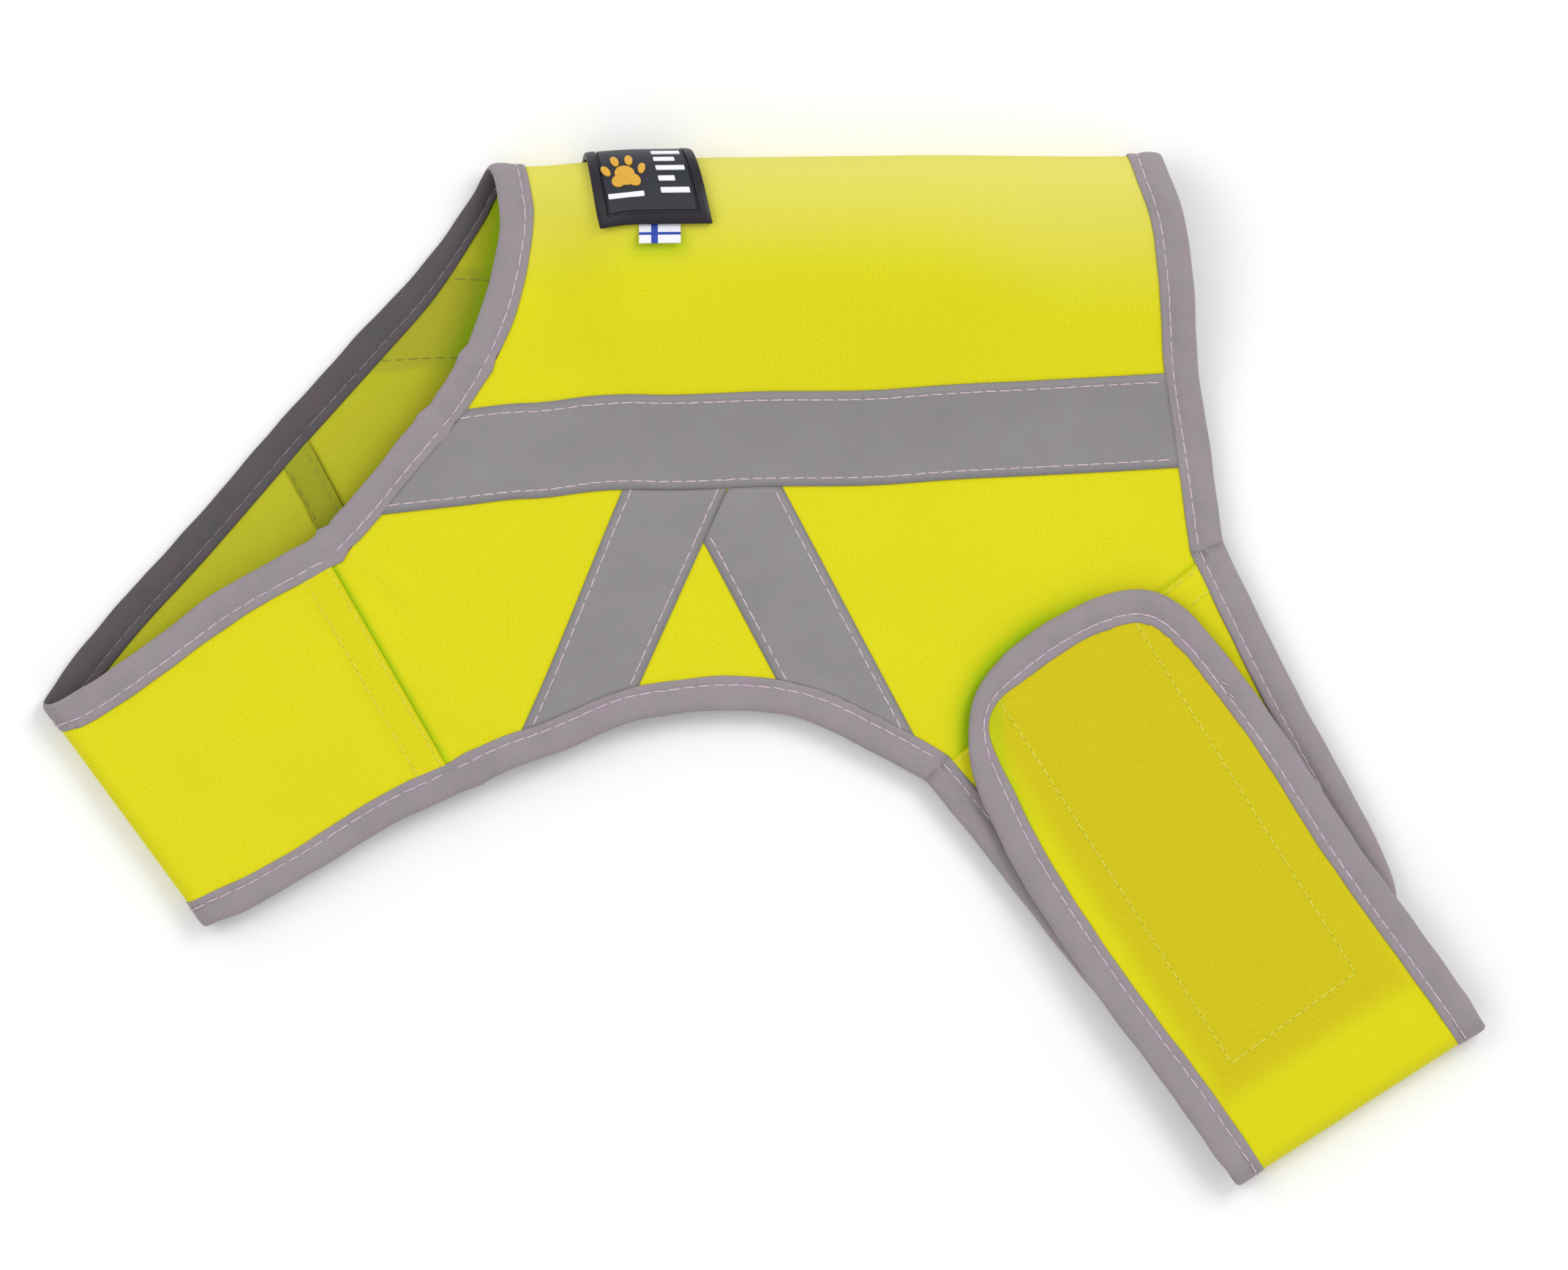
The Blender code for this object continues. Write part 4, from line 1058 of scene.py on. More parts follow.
# painted shade and painted sheen on the outer face, painted shade on the inner face
store_painted_shade_and_sheen(body_piece, painted_shade_on_body(body_fine, body_points), painted_sheen_on_roll(body_fine),
         painted_shade_in_neck(body_fine, body_points))
declare_cloth(body_piece, "body")

# %% [markdown]
# ### Chest band
# The panel that joins both sides under the neck. Its edge is folded back
# under the seam, so the cloth is double there: a little thicker, a little
# darker where the second layer backs it, and dented by the first row of
# stitches. A thickness that changes with the distance from the seam gives
# all three without a second piece.

# %% Chest band
SEAM_ROWS = (1.2, 8.0)
FOLDED_BACK = 0.4
ROW_DENT = 0.12
DOUBLED_DARK = 0.25


def seam_allowance(places, first):
    """Thickness added where the cut edge is folded back under a seam."""
    away = np.linalg.norm(places - places[:, first][:, None], axis=-1)
    doubled = FOLDED_BACK * (1 - smooth((away - SEAM_ROWS[1]) / 1.6))
    return doubled - ROW_DENT * np.exp(-((away - 1.5) / 0.7) ** 2)


fold_back = seam_allowance(band, 0)
darker = DOUBLED_DARK * np.clip(fold_back / FOLDED_BACK, 0.0, 1.0)
band_piece = grid_shell("vest_chest_band", chest.raised(band, CLOTH / 2 + fold_back),
                        chest.raised(band, -CLOTH / 2),
                        on_cut(band, darker), [KNIT_FACE, KNIT_INSIDE_SHADED])
declare_cloth(band_piece, "chest_band")

# %% [markdown]
# ### Seam allowances of the chest band
# Inside the band the two cut edges are turned over and sewn down, and one of
# them shows through the neck as a doubled strip, painted darker as the shade
# of the trough along the seam. It is a strip of its own laid on the inner
# face: thin at its cut edge, dented under both rows of stitches, puffed
# between them and pressed flat under the bindings.

# %% Seam allowances of the chest band
ALLOWANCE = 8.8
ALLOWANCE_THICK = 0.95
PRESSED_THICK = 0.3
PUFF = 0.2
RAGGED = 0.35


def allowance_thickness(reach, from_end):
    """Thickness at some distances from the seam and from the strip's ends."""
    thick = ALLOWANCE_THICK - 0.35 * np.exp(-((ALLOWANCE - reach) / 0.8) ** 2)
    for row in SEAM_ROWS:
        thick = thick - PUFF * np.exp(-((reach - row) / 0.7) ** 2)
    thick = thick + PUFF * np.exp(-((reach - 4.2) / 1.7) ** 2)
    return PRESSED_THICK + (thick - PRESSED_THICK) * smooth((from_end - 5.0) / 4.0)


def lay_allowance(name, end, last):
    """A strip along one end of the band, with a slightly ragged cut edge."""
    first = band[:, end]
    toward = unit(band[:, last] - first)
    reach = np.linspace(-0.7, ALLOWANCE, 23)
    places = (first[:, None] + toward[:, None] * reach[None, :, None])[2:-2]
    ragged = RAGGED * wave(np.arange(len(places)) * 1.7, 73, (31.0, 12.0, 7.0), 1.0)
    places = places + toward[2:-2, None] * (ragged[:, None] * reach / ALLOWANCE)[..., None]
    along = np.linalg.norm(places - places[:1], axis=-1)
    thick = allowance_thickness(reach, np.minimum(along, along[-1] - along))
    inner = chest.raised(places, -CLOTH / 2 - 0.02)
    outer = chest.raised(places, -CLOTH / 2 - thick)
    piece = grid_shell(name, outer, inner, on_cut(places), [KNIT_DOUBLED_SHADED])
    declare_cloth(piece, "chest_band")


lay_allowance("vest_seam_allowance_near", 0, 3)
lay_allowance("vest_seam_allowance_far", -1, -4)

# %% [markdown]
# ### Belly straps
# The far strap comes from under the vest, wraps round the belly fold and lies
# on top, so its inner face is never seen. Over the hook panel it is a touch
# thicker and its colour changes. The near strap lies flat inside it. Both are
# shells like the others, only with their own folds.

# %% Far strap
BACKED = ((15.0, 65.0), (25.0, 160.0))
BACKED_EASE = 9.0
BACKED_THICK = 0.25
# where the painted shade lies in the hollow by the strap's left binding, and how strong it is
HOLLOW_IN = 7.0
HOLLOW_WIDTH = 2.6
HOLLOW_SHADE = 0.4


def over_panel(places):
    """1 over the stitched panel, easing to 0 outside it."""
    (left, right), (low, high) = BACKED
    low, high = (float(belly.across_of(np.array(v), 0, 0.0)) for v in (low, high))
    beside = np.maximum(left - places[..., 0], places[..., 0] - right)
    out = np.maximum(low - places[..., 1], places[..., 1] - high)
    return 1 - smooth(np.maximum(beside, out) / BACKED_EASE)


weight = over_panel(far_strap)
far_strap_piece = grid_shell("vest_strap_far",
                             belly.raised(far_strap, CLOTH / 2 + BACKED_THICK * weight),
                             belly.raised(far_strap, -CLOTH / 2),
                             on_cut(far_strap, weight), [TWILL])
# Painted shade, greener, in the hollow along the strap's left binding near its end.
from_left = np.linalg.norm(far_strap - far_strap[:1], axis=-1)
hollow_shade = HOLLOW_SHADE * np.exp(-((from_left - HOLLOW_IN) / HOLLOW_WIDTH) ** 2)
hollow_shade *= smooth((far_strap[..., 1] - 100.0) / 20.0)
store_painted_shade_and_sheen(far_strap_piece, hollow_shade, np.zeros(hollow_shade.shape), np.zeros(hollow_shade.shape))
declare_cloth(far_strap_piece, "strap_far")

# %% Near strap
fold_back = seam_allowance(near_strap, 0)
near_strap_piece = grid_shell("vest_strap_near",
                              under.raised(near_strap, CLOTH / 2 + 0.6 * fold_back),
                              under.raised(near_strap, -CLOTH / 2),
                              on_cut(near_strap), [KNIT_FACE])
declare_cloth(near_strap_piece, "strap_near")

# %% [markdown]
# ## Edge binding
# A strip folded round the raw edge and caught down by one row of stitches
# about 2.4 mm from its inner edge. A curve with a bevel would give a round
# or stiff band, so the section is drawn once, as a loop of distance inside
# the edge and height above the cloth's middle, and swept along each run of
# edges. A run goes from one piece of cloth to the next without a break,
# which keeps the binding whole over the seams.

# %% Runs of edges
PRESSED_REACH = (5.0, 7.0)


class Run:
    """A closed run of cloth edges, as stretches of places on their folds."""

    def __init__(self, stretches):
        self.stretches = stretches
        points = np.vstack([fold.raised(places, 0.0) for fold, places in stretches])
        normals = np.vstack([fold.normal(places) for fold, places in stretches])
        ahead = np.roll(points, -2, axis=0) - np.roll(points, 2, axis=0)
        self.points = points
        self.normals = normals
        self.outward = unit(self.averaged(unit(np.cross(ahead, normals)), 3))
        self.at = distance_along(points)
        self.width = np.ones(len(points))
        from_fold = np.concatenate([np.abs(places[:, 1]) if fold is not spine else
                                    np.full(len(places), 99.0) for fold, places in stretches])
        self.pressed = 1 - smooth((from_fold - PRESSED_REACH[0]) / PRESSED_REACH[1])

    def averaged(self, values, reach):
        """Moving average along the run."""
        shifts = range(-reach, reach + 1)
        return sum(np.roll(values, shift, axis=0) for shift in shifts) / len(shifts)

    def near_to(self, x, y, reach, on_top=True):
        """1 at the edge nearest to (x, y), easing to 0 beyond the reach."""
        from_middle = np.hypot(self.points[:, 0] - x, self.points[:, 1] - y)
        outer = self.normals[:, 2] > 0 if on_top else self.normals[:, 2] < 0
        from_middle = np.where(outer, from_middle, 1e6)
        away = np.abs(self.at - self.at[np.argmin(from_middle)])
        return np.exp(-(away / reach) ** 2)

    def inside(self, depth, height):
        """Points at a depth inside the edge, raised above the cloth's middle."""
        depth = np.broadcast_to(depth, self.at.shape) * self.width
        height = np.broadcast_to(height, self.at.shape)
        made = []
        start = 0
        for fold, places in self.stretches:
            here = slice(start, start + len(places))
            inner = fold.step_in(places, -self.outward[here], depth[here])
            made.append(fold.raised(inner, height[here]))
            start += len(places)
        return np.vstack(made)

    def round_edge(self, out, height):
        """Points outside the edge, raised above the cloth's middle."""
        out = np.broadcast_to(out, self.at.shape)[:, None]
        height = np.broadcast_to(height, self.at.shape)[:, None]
        return self.points + self.outward * out + self.normals * height


def round_strap(fold, grid, first, last):
    """Down one side of a strap, round its end and back up the other."""
    inner = range(1, STRAP_COLUMNS)
    across = inner if first == 0 else reversed(inner)
    return (fold, np.vstack((grid[first], grid[list(across), -1], grid[last, ::-1])))


print("bindings are pressed within", sum(PRESSED_REACH), "mm of a fold")

# %% The neck's run and the outer run
HALF_NECK = BODY_ROWS[2] + BODY_ROWS[1] // 2
neck_run = Run([(spine, body[0, ::-1][HALF_NECK:]), (chest, band[0, 1:-1]),
                (spine, body[0, ::-1][:HALF_NECK])])
outer_stretches = {
    "strap_near": [round_strap(under, near_strap, 0, STRAP_COLUMNS)],
    "rear": [(spine, body[-1, 1:-1])],
    "strap_far": [round_strap(belly, far_strap, STRAP_COLUMNS, 0)],
    "leg": [(spine, body[ARCH_END - 1:CHEST_END:-1, -1]), (chest, band[-1, ::-1]),
            (spine, body[CHEST_END + 1:ARCH_END, 0])]}
outer_run = Run(sum(outer_stretches.values(), []))
outer_parts = {}
start = 0
for part, stretches in outer_stretches.items():
    count = sum(len(places) for fold, places in stretches)
    outer_parts[part] = np.arange(start, start + count + 1) % len(outer_run.points)
    start += count
# The strips of the body reach to where those of the straps end.
for part in ("rear", "leg"):
    outer_parts[part] = np.insert(outer_parts[part], 0, outer_parts[part][0] - 1)
for part in ("strap_near", "strap_far"):
    outer_parts[part] = outer_parts[part][:-1]
print("edge runs in mm:", round(neck_run.at[-1]), round(outer_run.at[-1]))

# %% [markdown]
# ### Section of the binding
# The outer half of the strip rises to a soft crown near the edge, dips at the
# row of stitches and ends in a thin lip. Waves along the run sway its inner
# edge and puff its crown, so that it doesn't look extruded. Where the cloth
# is folded at the chest and the belly, the binding is pressed flatter.

# %% Section of the binding
STITCH_IN = 5.5
FACE = (
    # distance inside the edge, height above the cloth's middle
    (7.9, 0.8), (7.8, 1.1), (7.3, 1.28), (6.5, 1.3), (5.95, 1.22), (5.5, 1.12), (5.0, 1.22),
    (4.3, 1.45), (3.3, 1.6), (2.2, 1.66), (1.1, 1.64), (0.3, 1.5))
BEND = (
    # distance outside the edge, height above the cloth's middle
    (0.55, 1.3), (1.05, 0.75), (1.25, 0.0), (1.05, -0.75), (0.55, -1.3))
LINING_LEVEL = 0.66
LINING = tuple((depth, LINING_LEVEL) for depth in (0.35, 2.5, 5.5, 7.8))
SWAY_WAVES = ((37.0, 23.0, 14.0), 0.35)
PUFF_WAVES = ((11.0, 7.3, 4.1), 0.16)
GATHER_WAVES = ((4.6, 3.1, 2.3), 0.8)


def section_rows(run, sway, puff, gathered):
    """Rows of points along the run: upper face, bend, lower face and lining."""
    flatter = 1 - 0.6 * run.pressed
    rows = []
    for depth, height in FACE:
        crown = math.exp(-((depth - 2.8) / 2.2) ** 2)
        lip = smooth((depth - 4.6) / 2.5)
        level = LINING_LEVEL + (height - LINING_LEVEL) * flatter
        rows.append(run.inside(depth + (sway + gathered) * 0.5 * lip,
                               level + puff * max(crown, 0.4) + gathered * 0.5 * lip))
    rows += [run.round_edge(out * (1 - 0.4 * run.pressed) + sway * 0.6,
                            height * (1 - 0.45 * run.pressed) + 0.4 * puff * (height > 0))
             for out, height in BEND]
    rows += [run.inside(depth, -LINING_LEVEL - (height - LINING_LEVEL) * flatter)
             for depth, height in reversed(FACE)]
    rows += [run.inside(depth, -height) for depth, height in reversed(LINING)]
    rows.append(run.round_edge(-0.15, 0.0))
    rows += [run.inside(depth, height) for depth, height in LINING]
    return np.stack(rows, axis=1)


print("points round the section:", 2 * len(FACE) + len(BEND) + 2 * len(LINING) + 1)

# %% Sweep along a run
def swept_faces(steps, around, ring):
    """Quads along a swept loop, and as many again as close its two ends."""
    index = np.arange(steps * around).reshape(steps, around)
    if ring:
        index = np.vstack((index, index[:1]))
    beside = np.roll(index, -1, axis=1)
    sides = np.stack((index[:-1], index[1:], beside[1:], beside[:-1]), -1).reshape(-1, 4)
    ends = []
    if not ring:
        for end, turned in ((index[0], False), (index[-1], True)):
            for k in range(around // 2 - 1):
                quad = [int(v) for v in (end[k], end[k + 1], end[-2 - k], end[-1 - k])]
                ends.append(quad[::-1] if turned else quad)
    return sides.tolist(), ends


def sweep_binding(name, node, run, part, seed, pinches=(), gathers=()):
    """Binding round the edge over a part of a run, or over all of a ring."""
    sway = wave(run.at, seed, *SWAY_WAVES)
    puff = wave(run.at, seed + 1, *PUFF_WAVES)
    gathered = np.zeros(run.at.shape)
    for x, y, reach in gathers:
        gathered += run.near_to(x, y, reach) * wave(run.at, seed + 2, *GATHER_WAVES)
    for x, y, reach, out, up in pinches:
        sway = sway + run.near_to(x, y, reach) * out
        puff = puff + run.near_to(x, y, reach) * up
    ring = part is None
    part = np.arange(len(run.at)) if ring else part
    loop = section_rows(run, sway, puff, gathered)[part]
    loop[..., 2] = np.maximum(loop[..., 2], 0.0)
    steps, around = loop.shape[:2]
    sides, ends = swept_faces(steps, around, ring)
    # faces of the lining take the darker grey, the painted shade of the binding's inside
    lining = (np.arange(around) >= len(FACE) + 2).astype(int)
    materials = np.tile(lining, len(sides) // around)
    materials = np.concatenate((materials, np.zeros(len(ends), dtype=int)))
    along = distance_along(run.points[part])
    girth = distance_along(loop[0])
    cut = np.stack(np.broadcast_arrays(along[:, None], girth[None, :], 0.0), axis=-1)
    piece = make_piece(name, loop.reshape(-1, 3), sides + ends, [BINDING, BINDING_INSIDE_SHADED],
                       materials, cut.reshape(-1, 3))
    stand_for(piece, node)


# %% Narrower stretches
GATHERED = (104.0, 13.0)
SEAM_CORNER = (118.0, 34.0)
joint = outer_run.near_to(*SEAM_CORNER, 14.0)[:, None]
softer = outer_run.outward * (1 - joint) + outer_run.averaged(outer_run.outward, 8) * joint
outer_run.outward = unit(softer)
on_top = outer_run.points[:, 2] > 8
narrower = (0.48 * outer_run.near_to(57.0, -14.0, 13.0) * on_top
            + 0.1 * outer_run.near_to(131.0, -8.0, 36.0) * on_top
            + 0.16 * outer_run.near_to(-122.0, -54.0, 34.0))
outer_run.width = 1 - narrower
neck_run.width = 1 - 0.34 * neck_run.near_to(-80.0, 124.0, 24.0, on_top=False)
print("narrowest share of the width:", round(float(outer_run.width.min()), 2))

# %% Bindings
sweep_binding("vest_binding_neck", "binding_neck", neck_run, None, 21, pinches=(
    # x, y, reach, outward, upward
    (-119.2, 37.4, 1.5, 1.7, 0.6), (-116.6, 39.6, 1.5, -0.7, -0.35), (-92.4, 69.0, 1.9, 0.9, 0.7),
    (-89.6, 72.2, 1.5, -0.7, -0.7), (-81.6, 84.0, 1.9, 0.8, 0.6), (-79.8, 87.4, 1.5, -0.6, -0.6),
    (-146.0, 20.0, 4.0, 0.3, 0.2)))
sweep_binding("vest_binding_rear", "binding_rear", outer_run, outer_parts["rear"], 23)
sweep_binding("vest_binding_leg", "binding_leg", outer_run, outer_parts["leg"], 25, pinches=(
    # x, y, reach, outward, upward
    (-81.0, -31.5, 2.6, -0.5, -0.3), (-76.0, -29.0, 2.4, 0.4, 0.3)))
sweep_binding("vest_binding_strap_far", "binding_strap_far", outer_run,
              outer_parts["strap_far"], 27, gathers=((*GATHERED, 22.0),))
sweep_binding("vest_binding_strap_near", "binding_strap_near", outer_run,
              outer_parts["strap_near"], 29)

# %% [markdown]
# ## Reflective tape
# Strips 25.4 mm wide lie on the flank and, as an upside down V, down to the
# leg arch. They are cut off at the bindings and where they meet. A boolean
# would leave ragged faces there, so each tape is a grid of its own, and its
# ends are found on the cut by walking along it to the line that ends it.

# %% Lines that end the tapes
TAPE_CELLS = (110, 14)
SLANT_CELLS = (44, 14)


def inside_places(run, side, depth, part=None):
    """Places on one side of the body, at a depth inside a run of its edge."""
    rows = []
    start = 0
    for fold, places in run.stretches:
        out = run.outward[start:start + len(places)]
        if fold is spine and (part is None or start + 1 in part):
            inner = fold.step_in(places, -out, depth)
            rows.append(inner[(places[:, 1] > 0) == (side == 0)])
        start += len(places)
    return np.vstack(rows)


def crossing(start, direction, line):
    """How far along a straight line it first meets a line of places."""
    a, b = line[:-1], line[1:]
    d = a - b
    det = direction[0] * d[:, 1] - direction[1] * d[:, 0]
    v = a - start
    t = (v[:, 0] * d[:, 1] - v[:, 1] * d[:, 0]) / det
    share = (direction[0] * v[:, 1] - direction[1] * v[:, 0]) / det
    hits = t[(share >= 0) & (share <= 1) & (t > 0)]
    return hits.min() if len(hits) else math.inf


def flank_places(table, front, back):
    """Grid over a flank tape, between the neck and rear bindings."""
    front = front[np.argsort(front[:, 1])]
    back = back[np.argsort(back[:, 1])]
    rows = []
    for offset in np.linspace(-TAPE_WIDTH / 2, TAPE_WIDTH / 2, TAPE_CELLS[1] + 1):
        ends = []
        for edge, x in ((front, table[0][0]), (back, table[-1][0])):
            for _ in range(6):
                x = np.interp(across_on(table, x) + offset, edge[:, 1], edge[:, 0])
            ends.append(x)
        line = np.linspace(ends[0], ends[1], TAPE_CELLS[0] + 1)
        rows.append(np.stack((line, across_on(table, line) + offset), axis=-1))
    return np.stack(rows, axis=1)


def slanted_places(middle, top_lines, leg_line):
    """Grid over a slanted tape, from the tapes above to the leg binding."""
    start, end = np.array(middle[0]), np.array(middle[1])
    direction = (end - start) / np.linalg.norm(end - start)
    beside = np.array((-direction[1], direction[0]))
    rows = []
    for offset in np.linspace(-TAPE_WIDTH / 2, TAPE_WIDTH / 2, SLANT_CELLS[1] + 1):
        origin = (start + end) / 2 + beside * offset
        up = min(crossing(origin, -direction, line) for line in top_lines)
        down = crossing(origin, direction, leg_line)
        rows.append(between(origin - direction * up, origin + direction * down, SLANT_CELLS[0]))
    return np.stack(rows, axis=1)


print("tape grids:", TAPE_CELLS, SLANT_CELLS)

# %% One tape
TAPE_THICK = 0.45
TAPE_GAP = 0.05
TAPE_END = 0.1
ROW_IN = 2.2
tape_rows = []
lining_rows = []


def lay_tape(name, node, places, lift):
    """A tape on the cloth: thin edges, and a shallow dent under each row."""
    share = np.linspace(0, TAPE_WIDTH, places.shape[1])
    from_edge = np.minimum(share, TAPE_WIDTH - share)
    top = CLOTH / 2 + lift + TAPE_THICK - 0.22 * np.exp(-(from_edge / 0.9) ** 2)
    top = top - 0.16 * np.exp(-((from_edge - ROW_IN) / 0.8) ** 2)
    wobble = relief(places, puckers(places[:, 1], places[:, 4], 7.0, 5.0, 1.6, 0.1, 31))
    wobble += relief(places, puckers(places[:, -2], places[:, -5], 7.0, 5.0, 1.6, 0.1, 33))
    outer = spine.raised(places, top[None, :] + wobble)
    inner = spine.raised(places, CLOTH / 2 + TAPE_GAP)
    piece = grid_shell(name, outer, inner, on_cut(places), [TAPE])
    declare_cloth(piece, node)
    for j in (0, -1):
        line = places[:, j] + (places[:, -1 - j] - places[:, j]) * ROW_IN / TAPE_WIDTH
        tape_rows.append((spine, line, CLOTH / 2 + lift + TAPE_THICK - 0.14))
        lining_rows.append((spine, line, -CLOTH / 2 + TAPE_GAP))


print("rows of stitches are", ROW_IN, "mm inside the tape's edges")

# %% Tapes of one side
def lay_side(side, flank, front_middle, back_middle):
    """The three tapes of one side of the body, stacked where they come near."""
    name = "near" if side == 0 else "far"
    sign = 1 if side == 0 else -1
    depth = BINDING_DEPTH - 0.3
    flank_grid = flank_places(flank, inside_places(neck_run, side, depth),
                              inside_places(outer_run, side, depth, outer_parts["rear"]))
    lay_tape(f"vest_tape_flank_{name}", f"tape_flank_{name}", flank_grid, 0.3)
    reach = TAPE_WIDTH / 2 + TAPE_END
    x = np.linspace(flank[0][0], flank[-1][0], 60)
    flank_edge = np.stack((x, across_on(flank, x) + sign * reach), axis=-1)
    leg = inside_places(outer_run, side, depth, outer_parts["leg"])
    leg = leg[np.argsort(leg[:, 0])]
    leg = np.vstack((leg[0] + (leg[0] - leg[3]) * 6, leg, leg[-1] + (leg[-1] - leg[-4]) * 6))
    front_grid = slanted_places(front_middle, [flank_edge], leg)
    lay_tape(f"vest_tape_front_{name}", f"tape_front_{name}", front_grid, 0.2)
    a, b = np.array(front_middle[0]), np.array(front_middle[1])
    along = (b - a) / np.linalg.norm(b - a)
    beside = np.array((-along[1], along[0])) * -sign * reach
    front_edge = np.array((a - along * TAPE_WIDTH + beside, b + along * TAPE_WIDTH + beside))
    back_grid = slanted_places(back_middle, [flank_edge, front_edge], leg)
    lay_tape(f"vest_tape_back_{name}", f"tape_back_{name}", back_grid, 0.1)


# %% Tapes of both sides
lay_side(0, FLANK_NEAR, SLANT_FRONT_NEAR, SLANT_BACK_NEAR)
lay_side(1, FLANK_FAR, SLANT_FRONT_FAR, SLANT_BACK_FAR)
print("rows along the tapes:", len(tape_rows))

# %% [markdown]
# ## Hook and loop panels
# They are pressed together inside the closed belly strap, so only their
# thin edges could be seen. Hair or thousands of hooks would be wasted there,
# so each is a slab of pile with a bumpy face.

# %% Panels
PILE_HEIGHT = 1.0


def pile_panel(name, fold, box, side):
    """A panel of pile: lumpy face, and an edge that thins out."""
    (left, right), (low, high) = box
    ends = [fold.across_of(np.array(v), 0, 0.0) for v in (low, high)]
    u, v = np.linspace(left, right, 46), np.linspace(ends[0], ends[1], 60)
    places = np.stack(np.meshgrid(u, v, indexing="ij"), axis=-1)
    draw = np.random.default_rng(41)
    edge = np.minimum.outer(np.minimum(u - left, right - u), np.minimum(v - ends[0], ends[1] - v))
    face = PILE_HEIGHT - 0.35 * np.exp(-edge) + draw.uniform(-0.1, 0.1, edge.shape)
    outer = fold.raised(places, side * (CLOTH / 2 + face))
    inner = fold.raised(places, side * (CLOTH / 2 + TAPE_GAP))
    piece = grid_shell(f"vest_{name}", outer, inner, on_cut(places), [PILE])
    declare_cloth(piece, name)


pile_panel("hook_panel", belly, HOOK_PANEL, -1)
pile_panel("loop_panel", under, LOOP_PANEL, 1)

# %% [markdown]
# ## Stitches
# A lockstitch shows as a row of short, slightly humped threads that dive
# into the cloth at both ends. A dashed line in a material would lie flat, and
# an array on a curve would repeat itself, so one small six-sided thread is
# worked out here, and set along the rows with small differences in length
# and direction. All the threads of a seam make one piece.

# %% A row of stitches
STITCH_PITCH = 4.0
STITCH_LENGTH = 3.75
THREAD_RADIUS = 0.21
THREAD_SIDES = 6
THREAD_RINGS = (
    # place along half the thread, share of its radius
    (-1.0, 0.45), (-0.62, 0.95), (0.0, 1.0), (0.62, 0.95), (1.0, 0.45))
UNEVEN_PITCH = 0.06
UNEVEN_LENGTH = (0.92, 1.06)
SUNK = 0.06
LOOK_AHEAD = 1.2


def stitch_row(fold, line, height, pitch, draw, length=STITCH_LENGTH, radius=THREAD_RADIUS,
               humped=0.13, phase=0.0, loose=0.07):
    """Points of the threads along a line of places, one block per stitch.

    The phase moves the row by a share of its pitch, and loose is how far a
    thread may turn aside.
    """
    points = fold.raised(line, height)
    at = distance_along(points)
    middles = np.arange(pitch * 0.5, at[-1] - pitch * 0.25, pitch)
    uneven = np.array([draw.uniform(-UNEVEN_PITCH, UNEVEN_PITCH) for _ in middles])
    middles = middles + (uneven + phase) * pitch
    places = np.stack([np.interp(middles, at, line[:, c]) for c in (0, 1)], axis=-1)
    middle = fold.raised(places, height)
    ahead = unit(np.stack([np.interp(middles + LOOK_AHEAD, at, points[:, c])
                           - np.interp(middles - LOOK_AHEAD, at, points[:, c])
                           for c in range(3)], axis=-1))
    up = fold.normal(places) * (1 if height >= 0 else -1)
    beside = np.cross(up, ahead)
    turn = np.array([draw.uniform(-loose, loose) for _ in middles])[:, None]
    ahead = ahead + beside * turn
    half = length / 2 * np.array([draw.uniform(*UNEVEN_LENGTH) for _ in middles])
    blocks = []
    for t, thick in THREAD_RINGS:
        centre = middle + ahead * (t * half)[:, None] + up * (humped * (1 - t * t) - SUNK)
        for k in range(THREAD_SIDES):
            turned = 2 * math.pi * k / THREAD_SIDES
            blocks.append(centre + (beside * math.cos(turned) + up * math.sin(turned))
                          * radius * thick)
    return np.stack(blocks, axis=1)


print("a stitch is", STITCH_LENGTH, "mm long, every", STITCH_PITCH, "mm")

# %% One piece of many stitches
def sew(name, node, rows, material, pitch, seed, slot, **shape):
    """One piece of all the threads in some rows."""
    draw = random.Random(seed)
    blocks = np.concatenate([stitch_row(fold, line, height, pitch, draw, **shape)
                             for fold, line, height in rows])
    count = THREAD_SIDES
    faces = []
    for ring in range(len(THREAD_RINGS) - 1):
        for k in range(count):
            a, b = ring * count + k, ring * count + (k + 1) % count
            faces.append((a, b, b + count, a + count))
    last = (len(THREAD_RINGS) - 1) * count
    caps = [(0, 5, 4, 1), (1, 4, 3, 2), (last, last + 1, last + 4, last + 5),
            (last + 1, last + 2, last + 3, last + 4)]
    pattern = np.array(faces + caps)
    size = blocks.shape[1]
    all_faces = (pattern[None] + np.arange(len(blocks))[:, None, None] * size).reshape(-1, 4)
    points = blocks.reshape(-1, 3)
    piece = make_piece(name, points, all_faces.tolist(), [material], np.zeros(len(all_faces), int),
                       points)
    stand_for(piece, node)
    print(f"{name}: {len(blocks)} stitches, {len(all_faces)} faces")


# %% Stitches of the bindings
ROW_LEVEL = 1.12


def binding_rows(run, part=None):
    """Both faces of a binding's row of stitches: top thread and bobbin thread."""
    rows = ([], [])
    start = 0
    for fold, places in run.stretches:
        here = slice(start, start + len(places))
        if part is None or start + 1 in part:
            inner = fold.step_in(places, -run.outward[here], STITCH_IN * run.width[here])
            rows[0].append((fold, inner, ROW_LEVEL))
            rows[1].append((fold, inner, -ROW_LEVEL))
        start += len(places)
    return rows


for end, run, part in (("neck", neck_run, None), *((name, outer_run, part)
                       for name, part in outer_parts.items())):
    faces, linings = binding_rows(run, part)
    sew(f"vest_stitches_{end}", f"binding_{end}", faces, THREAD, STITCH_PITCH, 51, "binding")
    sew(f"vest_stitches_{end}_inside", f"binding_{end}", linings, BOBBIN_THREAD_SHADED, STITCH_PITCH,
        53, "binding")

# %% [markdown]
# ### Loose threads at the end of the strap
# Round the strap's end the seam was sewn twice and its threads are frayed.
# Shorter, higher threads that turn aside more lie over the row, and two stray
# ones hang down from it.

